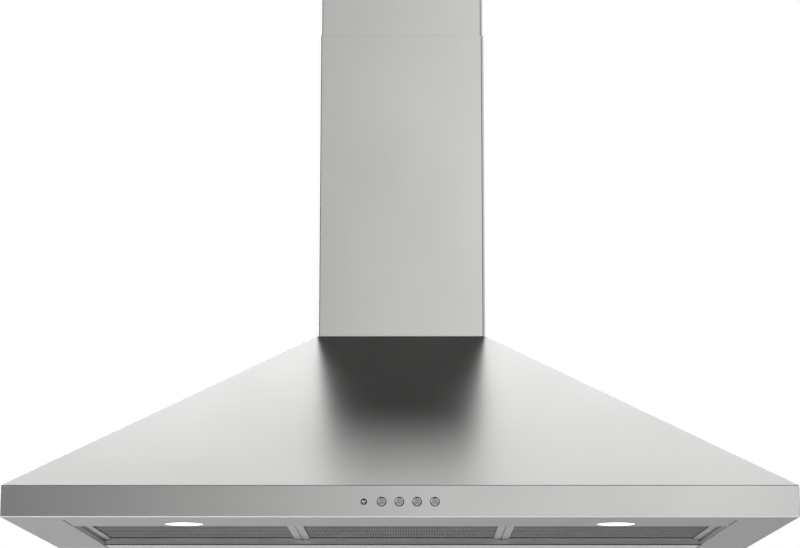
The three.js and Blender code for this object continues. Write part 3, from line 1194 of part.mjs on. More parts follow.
const blower = new THREE.Group();
blower.position.set(SCROLL_CENTRE_X, FAN_AXIS_Y, FAN_AXIS_Z);
hood.add(blower);
place('blower_box', blowerBox(), galvanised());
place('scroll_housing', scrollHousing(), greyPlastic(), 0, 0, 0, blower);
place('impeller', impeller(), blackPlastic(), 0, 0, 0, blower);
place('fan_motor', motor(), metal(0x7d8184, 0.5), MOTOR_LEFT - SCROLL_CENTRE_X, 0, 0, blower);
place('motor_bracket', motorBracket(), galvanised(), MOTOR_LEFT - SCROLL_CENTRE_X, 0, 0, blower);
place('motor_shaft', motorShaft(), metal(0x9da0a3, 0.25), MOTOR_LEFT - SCROLL_CENTRE_X + FIT, 0, 0, blower);
blowerScrewPlaces().forEach(([x, y], index) => {
  place(`box_screw_${index + 1}`, screw(BLOWER_SCREW_LENGTH), zincPlated(), x, y,
    BLOWER_FLOOR + BLOWER_SHEET + FIT);
});

const outlet = new THREE.Group();
outlet.position.set(0, BLOWER_MIDDLE, 0);
hood.add(outlet);
place('outlet_collar', outletCollar(), blackPlastic(), 0, 0, 0, outlet);
place('damper_rod', alongX(rod(DAMPER_ROD_RADIUS, -rodHalf, rodHalf, SMALL_SEGMENTS)), zincPlated(), 0, 0,
  damperAxis, outlet);
place('damper_flap_rear', damperFlap(), greyPlastic(), 0, 0, damperAxis, outlet);
place('damper_flap_front', damperFlap(), greyPlastic(), 0, 0, damperAxis, outlet).rotation.z = Math.PI;

const [boxX, boxZ] = TERMINAL_BOX_PLACE;
place('terminal_box', terminalBox(), whitePlastic(), boxX, PANEL_FIT, boxZ);
place('cable_gland', cableGland(), blackPlastic(), boxX, PANEL_FIT - TERMINAL_BOX[1] / 2,
  boxZ + TERMINAL_BOX[2] + FIT);
const [capX, capZ] = CAPACITOR_PLACE;
const capacitorY = PANEL_FIT - CAPACITOR_RADIUS - FIT;
place('run_capacitor', capacitor(), whitePlastic(), capX, capacitorY, capZ);
place('capacitor_clip', capacitorClip(), galvanised(), capX, PANEL_FIT, capZ + CAPACITOR_LENGTH / 3);
const driverX = RECESS_HALF + (HALF_WIDTH - RECESS_HALF) / 2;
place('lamp_driver', lampDriver(), whitePlastic(), driverX, -DRIVER_SETBACK, SHEET + FIT);

export default hood;
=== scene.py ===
"""Chimney range hood: visible sheets, filters, lamps and controls, with their finishes.

Metres, +Z up, the wall at y = 0 and the hood facing -Y. Every piece is built where it belongs,
so its object stays at the origin.
"""
import json
import logging
import math
from dataclasses import dataclass, field
from enum import Enum
from typing import Sequence, Union

import bmesh
import bpy
import numpy as np
from mathutils import Matrix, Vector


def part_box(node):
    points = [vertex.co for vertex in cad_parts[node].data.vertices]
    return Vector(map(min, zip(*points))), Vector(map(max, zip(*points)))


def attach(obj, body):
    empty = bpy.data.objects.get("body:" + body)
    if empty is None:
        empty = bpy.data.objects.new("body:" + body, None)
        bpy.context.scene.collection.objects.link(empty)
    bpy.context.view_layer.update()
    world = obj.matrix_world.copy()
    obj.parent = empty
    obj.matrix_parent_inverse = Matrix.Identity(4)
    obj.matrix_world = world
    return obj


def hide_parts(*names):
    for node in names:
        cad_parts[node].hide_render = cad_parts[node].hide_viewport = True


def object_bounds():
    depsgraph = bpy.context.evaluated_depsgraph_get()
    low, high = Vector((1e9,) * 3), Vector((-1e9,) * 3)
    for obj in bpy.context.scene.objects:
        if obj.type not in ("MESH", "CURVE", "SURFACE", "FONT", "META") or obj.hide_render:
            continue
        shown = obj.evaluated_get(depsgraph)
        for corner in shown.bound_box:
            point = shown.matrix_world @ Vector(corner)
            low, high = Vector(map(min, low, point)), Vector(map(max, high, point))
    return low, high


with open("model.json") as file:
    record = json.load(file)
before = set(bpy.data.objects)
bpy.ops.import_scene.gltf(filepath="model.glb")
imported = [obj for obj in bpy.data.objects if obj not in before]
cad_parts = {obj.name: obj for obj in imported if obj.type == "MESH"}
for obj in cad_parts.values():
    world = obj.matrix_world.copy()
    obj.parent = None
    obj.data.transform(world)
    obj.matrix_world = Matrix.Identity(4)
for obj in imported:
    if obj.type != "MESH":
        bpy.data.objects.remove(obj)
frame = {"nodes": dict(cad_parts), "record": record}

log = logging.getLogger("hood")
CAD_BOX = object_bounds()

Point = Sequence[float]
Profile = Sequence[tuple[float, float]]
Levels = Sequence[tuple[float, float, float, float]]
Colour = tuple[float, float, float]
Range = tuple[float, float]
Socket = bpy.types.NodeSocket
Feed = Union[float, tuple[float, ...], Socket]

MM = 0.001
SHEET = 1.0 * MM
# Length of a cutter that starts one sheet before the sheet that it cuts and ends one past it.
THROUGH = 3 * SHEET
HOLE_SEGMENTS = 40
# Edges past this angle stay sharp, and points nearer than the weld distance are merged.
SHARP = math.radians(32)
FACETED = 0.0
WELD = 2e-6
# Edge radii of cutters, of stampings and of thin sheet, and the most of a half size that one takes.
CUTTER_EDGE = 0.01 * MM
FINE_EDGE = 0.05 * MM
SHEET_EDGE = 0.1 * MM
FULLEST_EDGE = 0.98
SIDES = (-1, 1)


# ---- Surfaces -------------------------------------------------------------------------------


class Axis(Enum):
    """Direction that a turned piece points along; the value holds its unit vectors."""

    UP = ((1, 0, 0), (0, 1, 0), (0, 0, 1))
    BACK = ((1, 0, 0), (0, 0, -1), (0, 1, 0))
    RIGHT = ((0, 1, 0), (0, 0, 1), (1, 0, 0))
    LEFT = ((0, -1, 0), (0, 0, 1), (-1, 0, 0))

    @property
    def vectors(self) -> np.ndarray:
        """Two unit vectors across the axis and the one along it, as rows."""
        return np.array(self.value, float)


@dataclass(frozen=True)
class Box:
    """Box that a CAD node fills."""

    low: np.ndarray
    high: np.ndarray

    @classmethod
    def of(cls, node: str) -> "Box":
        """The box of a node."""
        return cls(*(np.array(corner, float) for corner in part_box(node)))

    @property
    def middle(self) -> np.ndarray:
        """Its middle."""
        return (self.low + self.high) / 2

    @property
    def size(self) -> np.ndarray:
        """Its lengths along X, Y and Z."""
        return self.high - self.low


@dataclass(frozen=True)
class Surface:
    """Vertices of a sheet or shell, and its faces as tuples of vertex numbers."""

    points: np.ndarray
    faces: list[tuple[int, ...]]


def joined(parts: Sequence[Surface]) -> Surface:
    """Puts surfaces into one, with the face numbers of each raised by the points before it.

    Args:
        parts: The surfaces.

    Returns:
        One surface with all their points and faces.
    """
    starts = np.cumsum([0] + [len(part.points) for part in parts[:-1]])
    faces = [
        tuple(int(number + start) for number in face)
        for part, start in zip(parts, starts) for face in part.faces
    ]
    return Surface(np.concatenate([part.points for part in parts]), faces)


def lattice_faces(rows: int, columns: int, wrap_rows: bool, wrap_columns: bool) -> list[tuple[int, ...]]:
    """Quads of a grid of points: (r, c), (r, c+1), (r+1, c+1), (r+1, c).

    Args:
        rows: Number of rows.
        columns: Number of points in a row.
        wrap_rows: Whether the last row joins the first.
        wrap_columns: Whether the last column joins the first.

    Returns:
        Four vertex numbers per quad.
    """
    r = np.arange(rows if wrap_rows else rows - 1)
    c = np.arange(columns if wrap_columns else columns - 1)
    r, c = (part.ravel() for part in np.meshgrid(r, c, indexing="ij"))
    here, above, beside = r * columns, (r + 1) % rows * columns, (c + 1) % columns
    quads = np.stack([here + c, here + beside, above + beside, above + c], 1)
    return [tuple(quad) for quad in quads.tolist()]


def tube(rings: np.ndarray, closed_path: bool = False) -> Surface:
    """Closed section carried along a path, with a flat cap at each end of an open path.

    Args:
        rings: Array (path, section, 3) of points.
        closed_path: Whether the path joins its start.

    Returns:
        The closed surface.
    """
    count, section = rings.shape[:2]
    faces = lattice_faces(count, section, closed_path, True)
    if not closed_path:
        last = (count - 1) * section
        faces += [tuple(range(section - 1, -1, -1)), tuple(range(last, last + section))]
    return Surface(rings.reshape(-1, 3), faces)


def rectangle(width: float, height: float) -> list[tuple[float, float]]:
    """Corners of a rectangle from (0, 0), which turn into a cylinder as a profile."""
    return [(0, 0), (width, 0), (width, height), (0, height)]


def arc_profile(centre: tuple[float, float], radius: float, start: float, end: float,
                steps: int) -> list[tuple[float, float]]:
    """Points of an arc in a section, (cx + r cos a, cy + r sin a) for a in degrees.

    Args:
        centre: Centre of the arc.
        radius: Its radius.
        start: First angle.
        end: Last angle.
        steps: Steps between them.

    Returns:
        The points as pairs.
    """
    angle = np.radians(np.linspace(start, end, steps + 1))
    return list(zip(centre[0] + radius * np.cos(angle), centre[1] + radius * np.sin(angle)))


def turned(profile: Profile, centre: Point, axis: Axis, segments: int) -> Surface:
    """Profile of (radius, distance) turned about an axis: p = c + r cos(a) u + r sin(a) v + d w.

    Args:
        profile: Radius and distance along the axis for each point, from axis to axis or closed.
        centre: Where distance 0 lies on the axis.
        axis: Direction of the axis.
        segments: Number of steps round the axis.

    Returns:
        The turned surface.
    """
    u, v, w = axis.vectors
    radius, distance = np.asarray(profile, float).T
    angle = np.linspace(0, 2 * math.pi, segments, endpoint=False)[:, None, None]
    round_part = radius[None, :, None] * (np.cos(angle) * u + np.sin(angle) * v)
    points = np.asarray(centre, float) + round_part + distance[None, :, None] * w
    return Surface(points.reshape(-1, 3), lattice_faces(segments, len(radius), True, False))


def corner_turns(steps: int) -> tuple[np.ndarray, np.ndarray, np.ndarray]:
    """Angles round four round corners, a quarter turn in each, with the corner's side in X and in Y.

    Args:
        steps: Steps in each corner.

    Returns:
        The angles, and 1 or -1 for the side in X and in Y at each angle.
    """
    quarter = np.linspace(0, math.pi / 2, steps + 1)
    angle = np.concatenate([quarter + k * math.pi / 2 for k in range(4)])
    return angle, np.repeat([1, -1, -1, 1], steps + 1), np.repeat([1, 1, -1, -1], steps + 1)


def soft_box(low: Point, high: Point, radius: float, steps: int = 2) -> Surface:
    """Box with round edges: p = m + s (h - r) + r d, where d runs over the sphere and s is its octant.

    Args:
        low: Lowest corner.
        high: Highest corner.
        radius: Edge radius.
        steps: Steps in each rounded quarter.

    Returns:
        The closed surface.
    """
    low, high = np.asarray(low, float), np.asarray(high, float)
    middle, half = (low + high) / 2, (high - low) / 2
    radius = min(radius, float(half.min()) * FULLEST_EDGE)
    around, side_x, side_y = corner_turns(steps)
    tilt = around[:2 * (steps + 1), None]
    side_z = np.repeat([1, -1], steps + 1)[:, None]
    inner = half - radius
    x = side_x * inner[0] + radius * np.sin(tilt) * np.cos(around)
    y = side_y * inner[1] + radius * np.sin(tilt) * np.sin(around)
    z = np.broadcast_to(side_z * inner[2] + radius * np.cos(tilt), x.shape)
    return tube(np.stack([x, y, z], -1) + middle)


def u_rings(levels: Levels, rear: float, steps: int = 6) -> np.ndarray:
    """Sections of a sheet that runs forward on the left, across the front and back on the right.

    At each point of the path x = s (half - radius) + a radius and y = front + radius + b radius,
    with (a, b) on the corner's quarter circle; both ends stand at y = rear.

    Args:
        levels: (half width, front, height, corner radius) for each point of the section.
        rear: Where the sheet ends at the wall side.
        steps: Steps in each corner.

    Returns:
        Array (path, section, 3).
    """
    half, front, height, radius = np.asarray(levels, float).T
    turn = np.linspace(0, math.pi / 2, steps + 1)
    side = np.concatenate([[-1], -np.ones(steps + 1), np.ones(steps + 1), [1]])[:, None]
    a = np.concatenate([[-1], -np.cos(turn), np.sin(turn), [1]])[:, None]
    b = np.concatenate([[0], -np.sin(turn), -np.cos(turn), [0]])[:, None]
    x = side * (half - radius) + a * radius
    y = front + radius + b * radius
    y[0], y[-1] = rear, rear
    return np.stack([x, y, np.broadcast_to(height, x.shape)], -1)


def loop_rings(levels: Levels, centre: Point, steps: int = 4) -> np.ndarray:
    """Sections of a rim that runs round a rectangle with round corners.

    x = sx (hx - r) + r cos(a) and y = sy (hy - r) + r sin(a), a quarter turn in each corner.

    Args:
        levels: (half size in X, half size in Y, height, corner radius) for each section point.
        centre: Middle of the rectangle, at height 0.
        steps: Steps in each corner.

    Returns:
        Array (path, section, 3) of a closed path.
    """
    hx, hy, height, radius = np.asarray(levels, float).T
    angle, side_x, side_y = (part[:, None] for part in corner_turns(steps))
    x = side_x * (hx - radius) + radius * np.cos(angle)
    y = side_y * (hy - radius) + radius * np.sin(angle)
    return np.stack([x, y, np.broadcast_to(height, x.shape)], -1) + np.asarray(centre, float)


def bent_rings(corners: Profile, radii: Sequence[float], section: Profile, steps: int = 8) -> np.ndarray:
    """Sections of a sheet that stands on a plan of straight runs with square bends to the left.

    An edge moved in by t starts at corner + t (n1 + n2); its bend is
    centre - (r - t) (cos a n1 + sin a n2).

    Args:
        corners: Corners of the outer face in plan, the first and last being the sheet's ends.
        radii: Outer bend radius at each inner corner.
        section: (distance in from the outer face, height) for each section point.
        steps: Steps in each bend.

    Returns:
        Array (path, section, 3).
    """
    plan = np.asarray(corners, float)
    run = np.diff(plan, axis=0)
    run /= np.linalg.norm(run, axis=1)[:, None]
    left = np.stack([-run[:, 1], run[:, 0]], 1)
    inset, height = np.asarray(section, float).T
    turn = np.linspace(0, math.pi / 2, steps + 1)[:, None, None]
    rows = [plan[0] + inset[:, None] * left[0]]
    for corner, n1, n2, radius in zip(plan[1:-1], left[:-1], left[1:], radii):
        centre = corner + radius * (n1 + n2)
        rows += list(centre - (radius - inset)[None, :, None] * (np.cos(turn) * n1 + np.sin(turn) * n2))
    rows.append(plan[-1] + inset[:, None] * left[-1])
    flat = np.array(rows)
    return np.concatenate([flat, np.broadcast_to(height[None, :, None], flat.shape[:2] + (1,))], -1)


# ---- Meshes ---------------------------------------------------------------------------------


def apply_modifier(piece: bpy.types.Object, kind: str, **settings: object) -> None:
    """Runs one modifier on a piece and keeps the result as its mesh.

    Args:
        piece: The piece.
        kind: Type of the modifier.
        settings: Attributes of the modifier.
    """
    modifier = piece.modifiers.new(kind.lower(), kind)
    for key, value in settings.items():
        setattr(modifier, key, value)
    graph = bpy.context.evaluated_depsgraph_get()
    mesh = bpy.data.meshes.new_from_object(piece.evaluated_get(graph))
    piece.modifiers.clear()
    old = piece.data
    mesh.name = piece.name
    piece.data = mesh
    bpy.data.meshes.remove(old)


def settle(piece: bpy.types.Object, sharp: float) -> None:
    """Shades a piece smooth with sharp edges, its normals weighted so that flat faces stay flat.

    Args:
        piece: The piece.
        sharp: Angle past which an edge stays sharp.
    """
    piece.data.shade_smooth()
    piece.data.set_sharp_from_angle(angle=sharp)
    apply_modifier(piece, "WEIGHTED_NORMAL", keep_sharp=True)


def mesh_piece(name: str, surface: Surface, finish: bpy.types.Material,
               sharp: float = SHARP) -> bpy.types.Object:
    """Makes a surface an object: doubles merged, faces pointing out, smooth but for sharp edges.

    Args:
        name: Name of the piece.
        surface: Its shape in place.
        finish: Its material.
        sharp: Angle past which an edge stays sharp; FACETED leaves every face flat.

    Returns:
        The new object, linked to the scene.
    """
    mesh = bpy.data.meshes.new(name)
    mesh.from_pydata(surface.points.tolist(), [], surface.faces)
    work = bmesh.new()
    work.from_mesh(mesh)
    bmesh.ops.remove_doubles(work, verts=work.verts, dist=WELD)
    bmesh.ops.dissolve_degenerate(work, edges=work.edges, dist=WELD)
    bmesh.ops.recalc_face_normals(work, faces=work.faces)
    work.to_mesh(mesh)
    work.free()
    mesh.materials.append(finish)
    piece = bpy.data.objects.new(name, mesh)
    bpy.context.scene.collection.objects.link(piece)
    if sharp != FACETED:
        settle(piece, sharp)
    return piece


def cut(piece: bpy.types.Object, cutters: Sequence[Surface]) -> None:
    """Cuts closed surfaces out of a piece and keeps the result as its mesh.

    Args:
        piece: The piece to cut.
        cutters: Closed surfaces that don't touch each other.
    """
    tool = mesh_piece(f"{piece.name}_cutter", joined(cutters), piece.data.materials[0], FACETED)
    apply_modifier(piece, "BOOLEAN", operation="DIFFERENCE", solver="EXACT", object=tool)
    spent = tool.data
    bpy.data.objects.remove(tool)
    bpy.data.meshes.remove(spent)
    settle(piece, SHARP)


# ---- Node trees -----------------------------------------------------------------------------


class Graph:
    """Short calls for building a node tree."""

    def __init__(self, tree: bpy.types.NodeTree) -> None:
        """Keeps the tree that nodes are added to."""
        self.tree = tree

    def feed(self, target: Socket, value: Feed) -> None:
        """Links a socket to the target, or gives the target a number or a colour.

        Args:
            target: The input.
            value: Socket, number or colour that it takes.
        """
        if isinstance(value, Socket):
            self.tree.links.new(value, target)
        else:
            target.default_value = value

    def node(self, kind: str, inputs: dict[Union[str, int], Feed] | None = None,
             **settings: object) -> bpy.types.Node:
        """Adds a node.

        Args:
            kind: Node type without its ShaderNode prefix.
            inputs: What each input takes, by its name or number.
            settings: Attributes of the node.

        Returns:
            The node.
        """
        made = self.tree.nodes.new(kind if kind.startswith("Node") else f"ShaderNode{kind}")
        for key, value in settings.items():
            setattr(made, key, value)
        for key, value in (inputs or {}).items():
            self.feed(made.inputs[key], value)
        return made

    def math(self, operation: str, *inputs: Feed) -> Socket:
        """Result of a Math node on its inputs, in order."""
        return self.node("Math", dict(enumerate(inputs)), operation=operation).outputs[0]

    def blend(self, first: Feed, second: Feed, share: Socket) -> Socket:
        """Mix of two values: first (1 - share) + second share."""
        rest = self.math("MULTIPLY", first, self.math("SUBTRACT", 1.0, share))
        return self.math("ADD", rest, self.math("MULTIPLY", second, share))

    def spread(self, value: Socket, low: float, high: float,
               from_low: float = 0.0, from_high: float = 1.0) -> Socket:
        """Maps a value from one range to another with smooth ends.

        Args:
            value: What is mapped.
            low: Result at from_low.
            high: Result at from_high.
            from_low: Lower end of the value.
            from_high: Upper end of the value.

        Returns:
            The mapped value.
        """
        ends = {"Value": value, "From Min": from_low, "From Max": from_high, "To Min": low, "To Max": high}
        return self.node("MapRange", ends, interpolation_type="SMOOTHSTEP").outputs["Result"]

    def split(self, vector: Socket) -> tuple[Socket, ...]:
        """The X, Y and Z of a vector."""
        return tuple(self.node("SeparateXYZ", {0: vector}).outputs)

    def place(self) -> Socket:
        """Object coordinates of the point that is shaded."""
        return self.node("TexCoord").outputs["Object"]

    def normal(self) -> Socket:
        """Normal of the point that is shaded."""
        return self.node("NewGeometry").outputs["Normal"]

    def noise(self, vector: Socket, scale: Feed, detail: float) -> Socket:
        """Noise from 0 to 1 at a vector."""
        return self.node("TexNoise", {"Vector": vector, "Scale": scale, "Detail": detail}).outputs["Fac"]


class MaterialGraph(Graph):
    """Node tree of a new material, with its Principled shader."""

    def __init__(self, name: str) -> None:
        """Makes a material of the name."""
        self.material = bpy.data.materials.new(name)
        self.material.use_nodes = True
        super().__init__(self.material.node_tree)
        self.shader = self.tree.nodes["Principled BSDF"]

    def shade(self, inputs: dict[str, Feed]) -> None:
        """Gives inputs of the shader what they take, by their names."""
        for name, value in inputs.items():
            self.feed(self.shader.inputs[name], value)

    def tint(self, factor: Socket, dark: Colour, light: Colour) -> Socket:
        """Colour from dark to light by a factor; inputs 6 and 7 are the node's two colours."""
        ends = {"Factor": factor, 6: (*dark, 1.0), 7: (*light, 1.0)}
        return self.node("Mix", ends, data_type="RGBA").outputs[2]

    def relief(self, height: Socket, depth: float) -> Socket:
        """Normal of a relief: its height goes from 0 to 1 and its depth is in metres."""
        return self.node("Bump", {"Strength": 1.0, "Distance": depth, "Height": height}).outputs["Normal"]


def new_group(name: str, numbers: dict[str, float], outputs: Sequence[str]) -> tuple[
        Graph, bpy.types.NodeOutputs, bpy.types.NodeInputs]:
    """Starts a shader node group with number inputs and number outputs.

    Args:
        name: Name of the group.
        numbers: Input names with their usual values.
        outputs: Output names.

    Returns:
        The group's graph, the sockets that bring its inputs and those that take its outputs.
    """
    tree = bpy.data.node_groups.new(name, "ShaderNodeTree")
    for key, value in numbers.items():
        socket = tree.interface.new_socket(name=key, in_out="INPUT", socket_type="NodeSocketFloat")
        socket.default_value = value
    for key in outputs:
        tree.interface.new_socket(name=key, in_out="OUTPUT", socket_type="NodeSocketFloat")
    graph = Graph(tree)
    return graph, graph.node("NodeGroupInput").outputs, graph.node("NodeGroupOutput").inputs


@dataclass(frozen=True)
class BrushedGrain:
    """Grain of brushed sheet: noise drawn long along the brush and fine across it, and handling marks.

    Across is z, and on level sheets y, so that the lines lie level on every side.
    """

    scales: tuple[Range, ...] = ((6.0, 2600.0), (14.0, 900.0))
    detail: float = 2.0
    contrast: Range = (0.32, 0.68)
    level_from: float = 0.95
    mark_scale: float = 7.0
    mark_detail: float = 3.0
    mark_contrast: Range = (0.35, 0.7)

    def build(self) -> bpy.types.NodeTree:
        """Builds the group, which puts out Grain and Smudge, each from 0 to 1.

        Returns:
            The group.
        """
        graph, _, out = new_group("brushed_grain", {}, ["Grain", "Smudge"])
        place = graph.place()
        x, y, z = graph.split(place)
        tilt = graph.math("ABSOLUTE", graph.split(graph.normal())[2])
        level = graph.math("GREATER_THAN", tilt, self.level_from)
        across = graph.math("ADD", z, graph.math("MULTIPLY", y, level))
        along = graph.math("ADD", x, y)
        layers = []
        for long_scale, fine_scale in self.scales:
            stretched = graph.node("CombineXYZ", {"X": graph.math("MULTIPLY", along, long_scale),
                                                  "Y": graph.math("MULTIPLY", across, fine_scale)})
            layers.append(graph.noise(stretched.outputs[0], 1.0, self.detail))
        mean = graph.math("MULTIPLY", graph.math("ADD", *layers), 0.5)
        marks = graph.noise(place, self.mark_scale, self.mark_detail)
        graph.feed(out["Grain"], graph.spread(mean, 0.0, 1.0, *self.contrast))
        graph.feed(out["Smudge"], graph.spread(marks, 0.0, 1.0, *self.mark_contrast))
        return graph.tree


@dataclass(frozen=True)
class ZincSpangle:
    """Frost of galvanised sheet: cells of two sizes with their own brightness."""

    scale: float = 160.0
    factors: Range = (1.0, 2.7)

    def build(self) -> bpy.types.NodeTree:
        """Builds the group, with input Scale, which puts out Spangle from 0 to 1.

        Returns:
            The group.
        """
        graph, given, out = new_group("zinc_spangle", {"Scale": self.scale}, ["Spangle"])
        place = graph.place()
        cells = []
        for factor in self.factors:
            size = graph.math("MULTIPLY", given["Scale"], factor)
            cell = graph.node("TexVoronoi", {"Vector": place, "Scale": size})
            cells.append(graph.node("SeparateColor", {0: cell.outputs["Color"]}).outputs[0])
        graph.feed(out["Spangle"], graph.math("MULTIPLY", graph.math("ADD", *cells), 0.5))
        return graph.tree


@dataclass(frozen=True)
class FineSkin:
    """Skin of moulded, cast or rolled parts: fine grain and a slow change over the piece."""

    scale: float = 1400.0
    drift: float = 0.02
    detail: float = 2.0
    contrast: Range = (0.3, 0.7)

    def build(self) -> bpy.types.NodeTree:
        """Builds the group, with input Scale, which puts out Grain and Drift, each from 0 to 1.

        Returns:
            The group.
        """
        graph, given, out = new_group("moulded_skin", {"Scale": self.scale}, ["Grain", "Drift"])
        place = graph.place()
        for name, factor in (("Grain", 1.0), ("Drift", self.drift)):
            noise = graph.noise(place, graph.math("MULTIPLY", given["Scale"], factor), self.detail)
            graph.feed(out[name], graph.spread(noise, 0.0, 1.0, *self.contrast))
        return graph.tree


class Groups:
    """The shared effects, each built once."""

    def __init__(self) -> None:
        """Builds the three groups."""
        self.grain = BrushedGrain().build()
        self.spangle = ZincSpangle().build()
        self.skin = FineSkin().build()


# ---- Finishes -------------------------------------------------------------------------------


@dataclass(frozen=True)
class BrushedSteel:
    """Stainless sheet with a level brush: a smooth lobe along the brush and a wide one across it."""

    name: str
    colour: Colour = (0.64, 0.64, 0.63)
    roughness: float = 0.265
    underside: bool = False
    stretch: float = 0.56
    stretch_turn: float = 0.25
    shade: float = 0.985
    line_roughness: Range = (0.01, 0.02)
    mark_roughness: float = 0.02

    def material(self, groups: Groups) -> bpy.types.Material:
        """Builds the material.

        Args:
            groups: The shared effects.

        Returns:
            The material.
        """
        graph = MaterialGraph(self.name)
        grain = graph.node("Group", node_tree=groups.grain).outputs
        ends = (self.roughness + part for part in self.line_roughness)
        rough = graph.math("ADD", graph.spread(grain["Grain"], *ends),
                           graph.math("MULTIPLY", grain["Smudge"], self.mark_roughness))
        if self.underside:
            tangent = graph.node("CombineXYZ", {"X": 1.0})
        else:
            upright = graph.node("CombineXYZ", {"Z": 1.0}).outputs[0]
            tangent = graph.node("VectorMath", {0: upright, 1: graph.normal()}, operation="CROSS_PRODUCT")
        graph.shade({
            "Metallic": 1.0, "Anisotropic": self.stretch, "Anisotropic Rotation": self.stretch_turn,
            "Base Color": graph.tint(grain["Grain"], tuple(part * self.shade for part in self.colour),
                                     self.colour),
            "Roughness": rough, "Tangent": tangent.outputs[0]})
        return graph.material


@dataclass(frozen=True)
class ZincSheet:
    """Galvanised or zinc-plated steel."""

    name: str
    dark: Colour = (0.42, 0.44, 0.46)
    light: Colour = (0.62, 0.64, 0.66)
    cells: float = 160.0
    roughness: float = 0.42
    frost: float = 0.12

    def material(self, groups: Groups) -> bpy.types.Material:
        """Builds the material.

        Args:
            groups: The shared effects.

        Returns:
            The material.
        """
        graph = MaterialGraph(self.name)
        spangle = graph.node("Group", node_tree=groups.spangle)
        spangle.inputs["Scale"].default_value = self.cells
        mask = spangle.outputs["Spangle"]
        graph.shade({
            "Metallic": 1.0, "Base Color": graph.tint(mask, self.dark, self.light),
            "Roughness": graph.spread(mask, self.roughness, self.roughness + self.frost)})
        return graph.material


@dataclass(frozen=True)
class PlainMetal:
    """Aluminium, chrome or ground steel with a fine skin, a little darker in places."""

    name: str
    colour: Colour
    roughness: float = 0.5
    relief: float = 1.5e-6
    drift: Range = (0.88, 1.0)
    uneven: float = 0.06
    metallic: float = 1.0
    glow: float = 0.0
    glow_colour: Colour = (1.0, 1.0, 1.0)

    def material(self, groups: Groups) -> bpy.types.Material:
        """Builds the material.

        Args:
            groups: The shared effects.

        Returns:
            The material.
        """
        graph = MaterialGraph(self.name)
        skin = graph.node("Group", node_tree=groups.skin).outputs
        dark, light = (tuple(min(1.0, part * share) for part in self.colour) for share in self.drift)
        graph.shade({
            "Metallic": self.metallic, "Base Color": graph.tint(skin["Drift"], dark, light),
            "Roughness": graph.spread(skin["Grain"], self.roughness, self.roughness + self.uneven),
            "Normal": graph.relief(skin["Grain"], self.relief),
            "Emission Strength": self.glow, "Emission Color": (*self.glow_colour, 1.0)})
        return graph.material


@dataclass(frozen=True)
class Moulding(PlainMetal):
    """Moulded plastic, a little lighter in places."""

    relief: float = 8e-6
    drift: Range = (1.0, 1.06)
    uneven: float = 0.08
    metallic: float = 0.0


class Workshop:
    """Holds the finishes by name, dresses the CAD nodes and makes the pieces."""

    def __init__(self) -> None:
        """Builds the materials."""
        groups = Groups()
        kinds = (
            BrushedSteel("hood_steel"),
            BrushedSteel("band_steel"),
            # A lighter copy of the steel for the band's fold: a painted highlight along the fold.
            BrushedSteel("fold_highlight_steel", (0.9, 0.895, 0.88)),
            BrushedSteel("underside_steel", underside=True),
            # A lighter copy of the underside steel for the rear rail: its pale colour paints a brighter
            # reflection there; its higher roughness is real.
            BrushedSteel("rail_highlight_steel", (0.96, 0.96, 0.95), 0.4, underside=True),
            BrushedSteel("chimney_steel", (0.7, 0.695, 0.68)),
            ZincSheet("galvanised_sheet"),
            ZincSheet("zinc_plate", (0.6, 0.61, 0.62), (0.72, 0.73, 0.74), 900.0, 0.25),
            PlainMetal("filter_frame_aluminium", (0.74, 0.74, 0.75), 0.3),
            PlainMetal("filter_mesh_aluminium", (0.258, 0.262, 0.269), 0.33, 3e-6),
            PlainMetal("button_metal", (0.37, 0.368, 0.365), 0.24, 0.4e-6),
            # A lighter copy of the button metal for the caps' bevels: a painted highlight round the darker
            # face.
            PlainMetal("button_highlight_bevel", (0.72, 0.715, 0.7), 0.3),
            PlainMetal("motor_metal", (0.34, 0.35, 0.36), 0.5, 6e-6),
            PlainMetal("shaft_steel", (0.55, 0.56, 0.57), 0.22),
            PlainMetal("indicator_red", (0.84, 0.81, 0.8), 0.1, 0.2e-6),
            Moulding("collar_black", (0.02, 0.02, 0.021)),
            Moulding("lamp_lens", (0.92, 0.92, 0.9), 0.2, 1e-6, glow=1.1, glow_colour=(1, 0.99, 0.96)),
            Moulding("black_plastic", (0.028, 0.028, 0.03), 0.42),
            Moulding("grey_plastic", (0.25, 0.26, 0.27)),
            Moulding("white_plastic", (0.72, 0.72, 0.69)),
        )
        self.finishes = {kind.name: kind.material(groups) for kind in kinds}

    def dress_nodes(self) -> None:
        """Gives every CAD node the finish named like its slot in the record."""
        slots = {part["node"]: part["material_slot"] for part in frame["record"]["subparts"]}
        for name, node in frame["nodes"].items():
            material = self.finishes[slots[name]]
            if node.data.materials:
                for number in range(len(node.data.materials)):
                    node.data.materials[number] = material
            else:
                node.data.materials.append(material)

    def add(self, name: str, surface: Surface, finish: str, body: str = "root",
            nodes: Sequence[str] = (), slot: str = "", cuts: Sequence[Sequence[Surface]] = (),
            sharp: float = SHARP) -> bpy.types.Object:
        """Makes a piece, cuts it, and puts it on its body in place of its nodes.

        Args:
            name: Name of the piece.
            surface: Its shape in place.
            finish: Name of its finish.
            body: Name of the body it moves with.
            nodes: Nodes that it replaces.
            slot: Material slot that the piece belongs to; not used.
            cuts: Closed surfaces that are cut away, one group after another.
            sharp: Angle past which an edge stays sharp.

        Returns:
            The piece.
        """
        piece = mesh_piece(name, surface, self.finishes[finish], sharp)
        for cutters in cuts:
            cut(piece, cutters)
        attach(piece, body)
        if nodes:
            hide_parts(*nodes)
        log.info("%s on %s: %d faces", piece.name, body, len(piece.data.polygons))
        return piece


# ---- Hood body ------------------------------------------------------------------------------


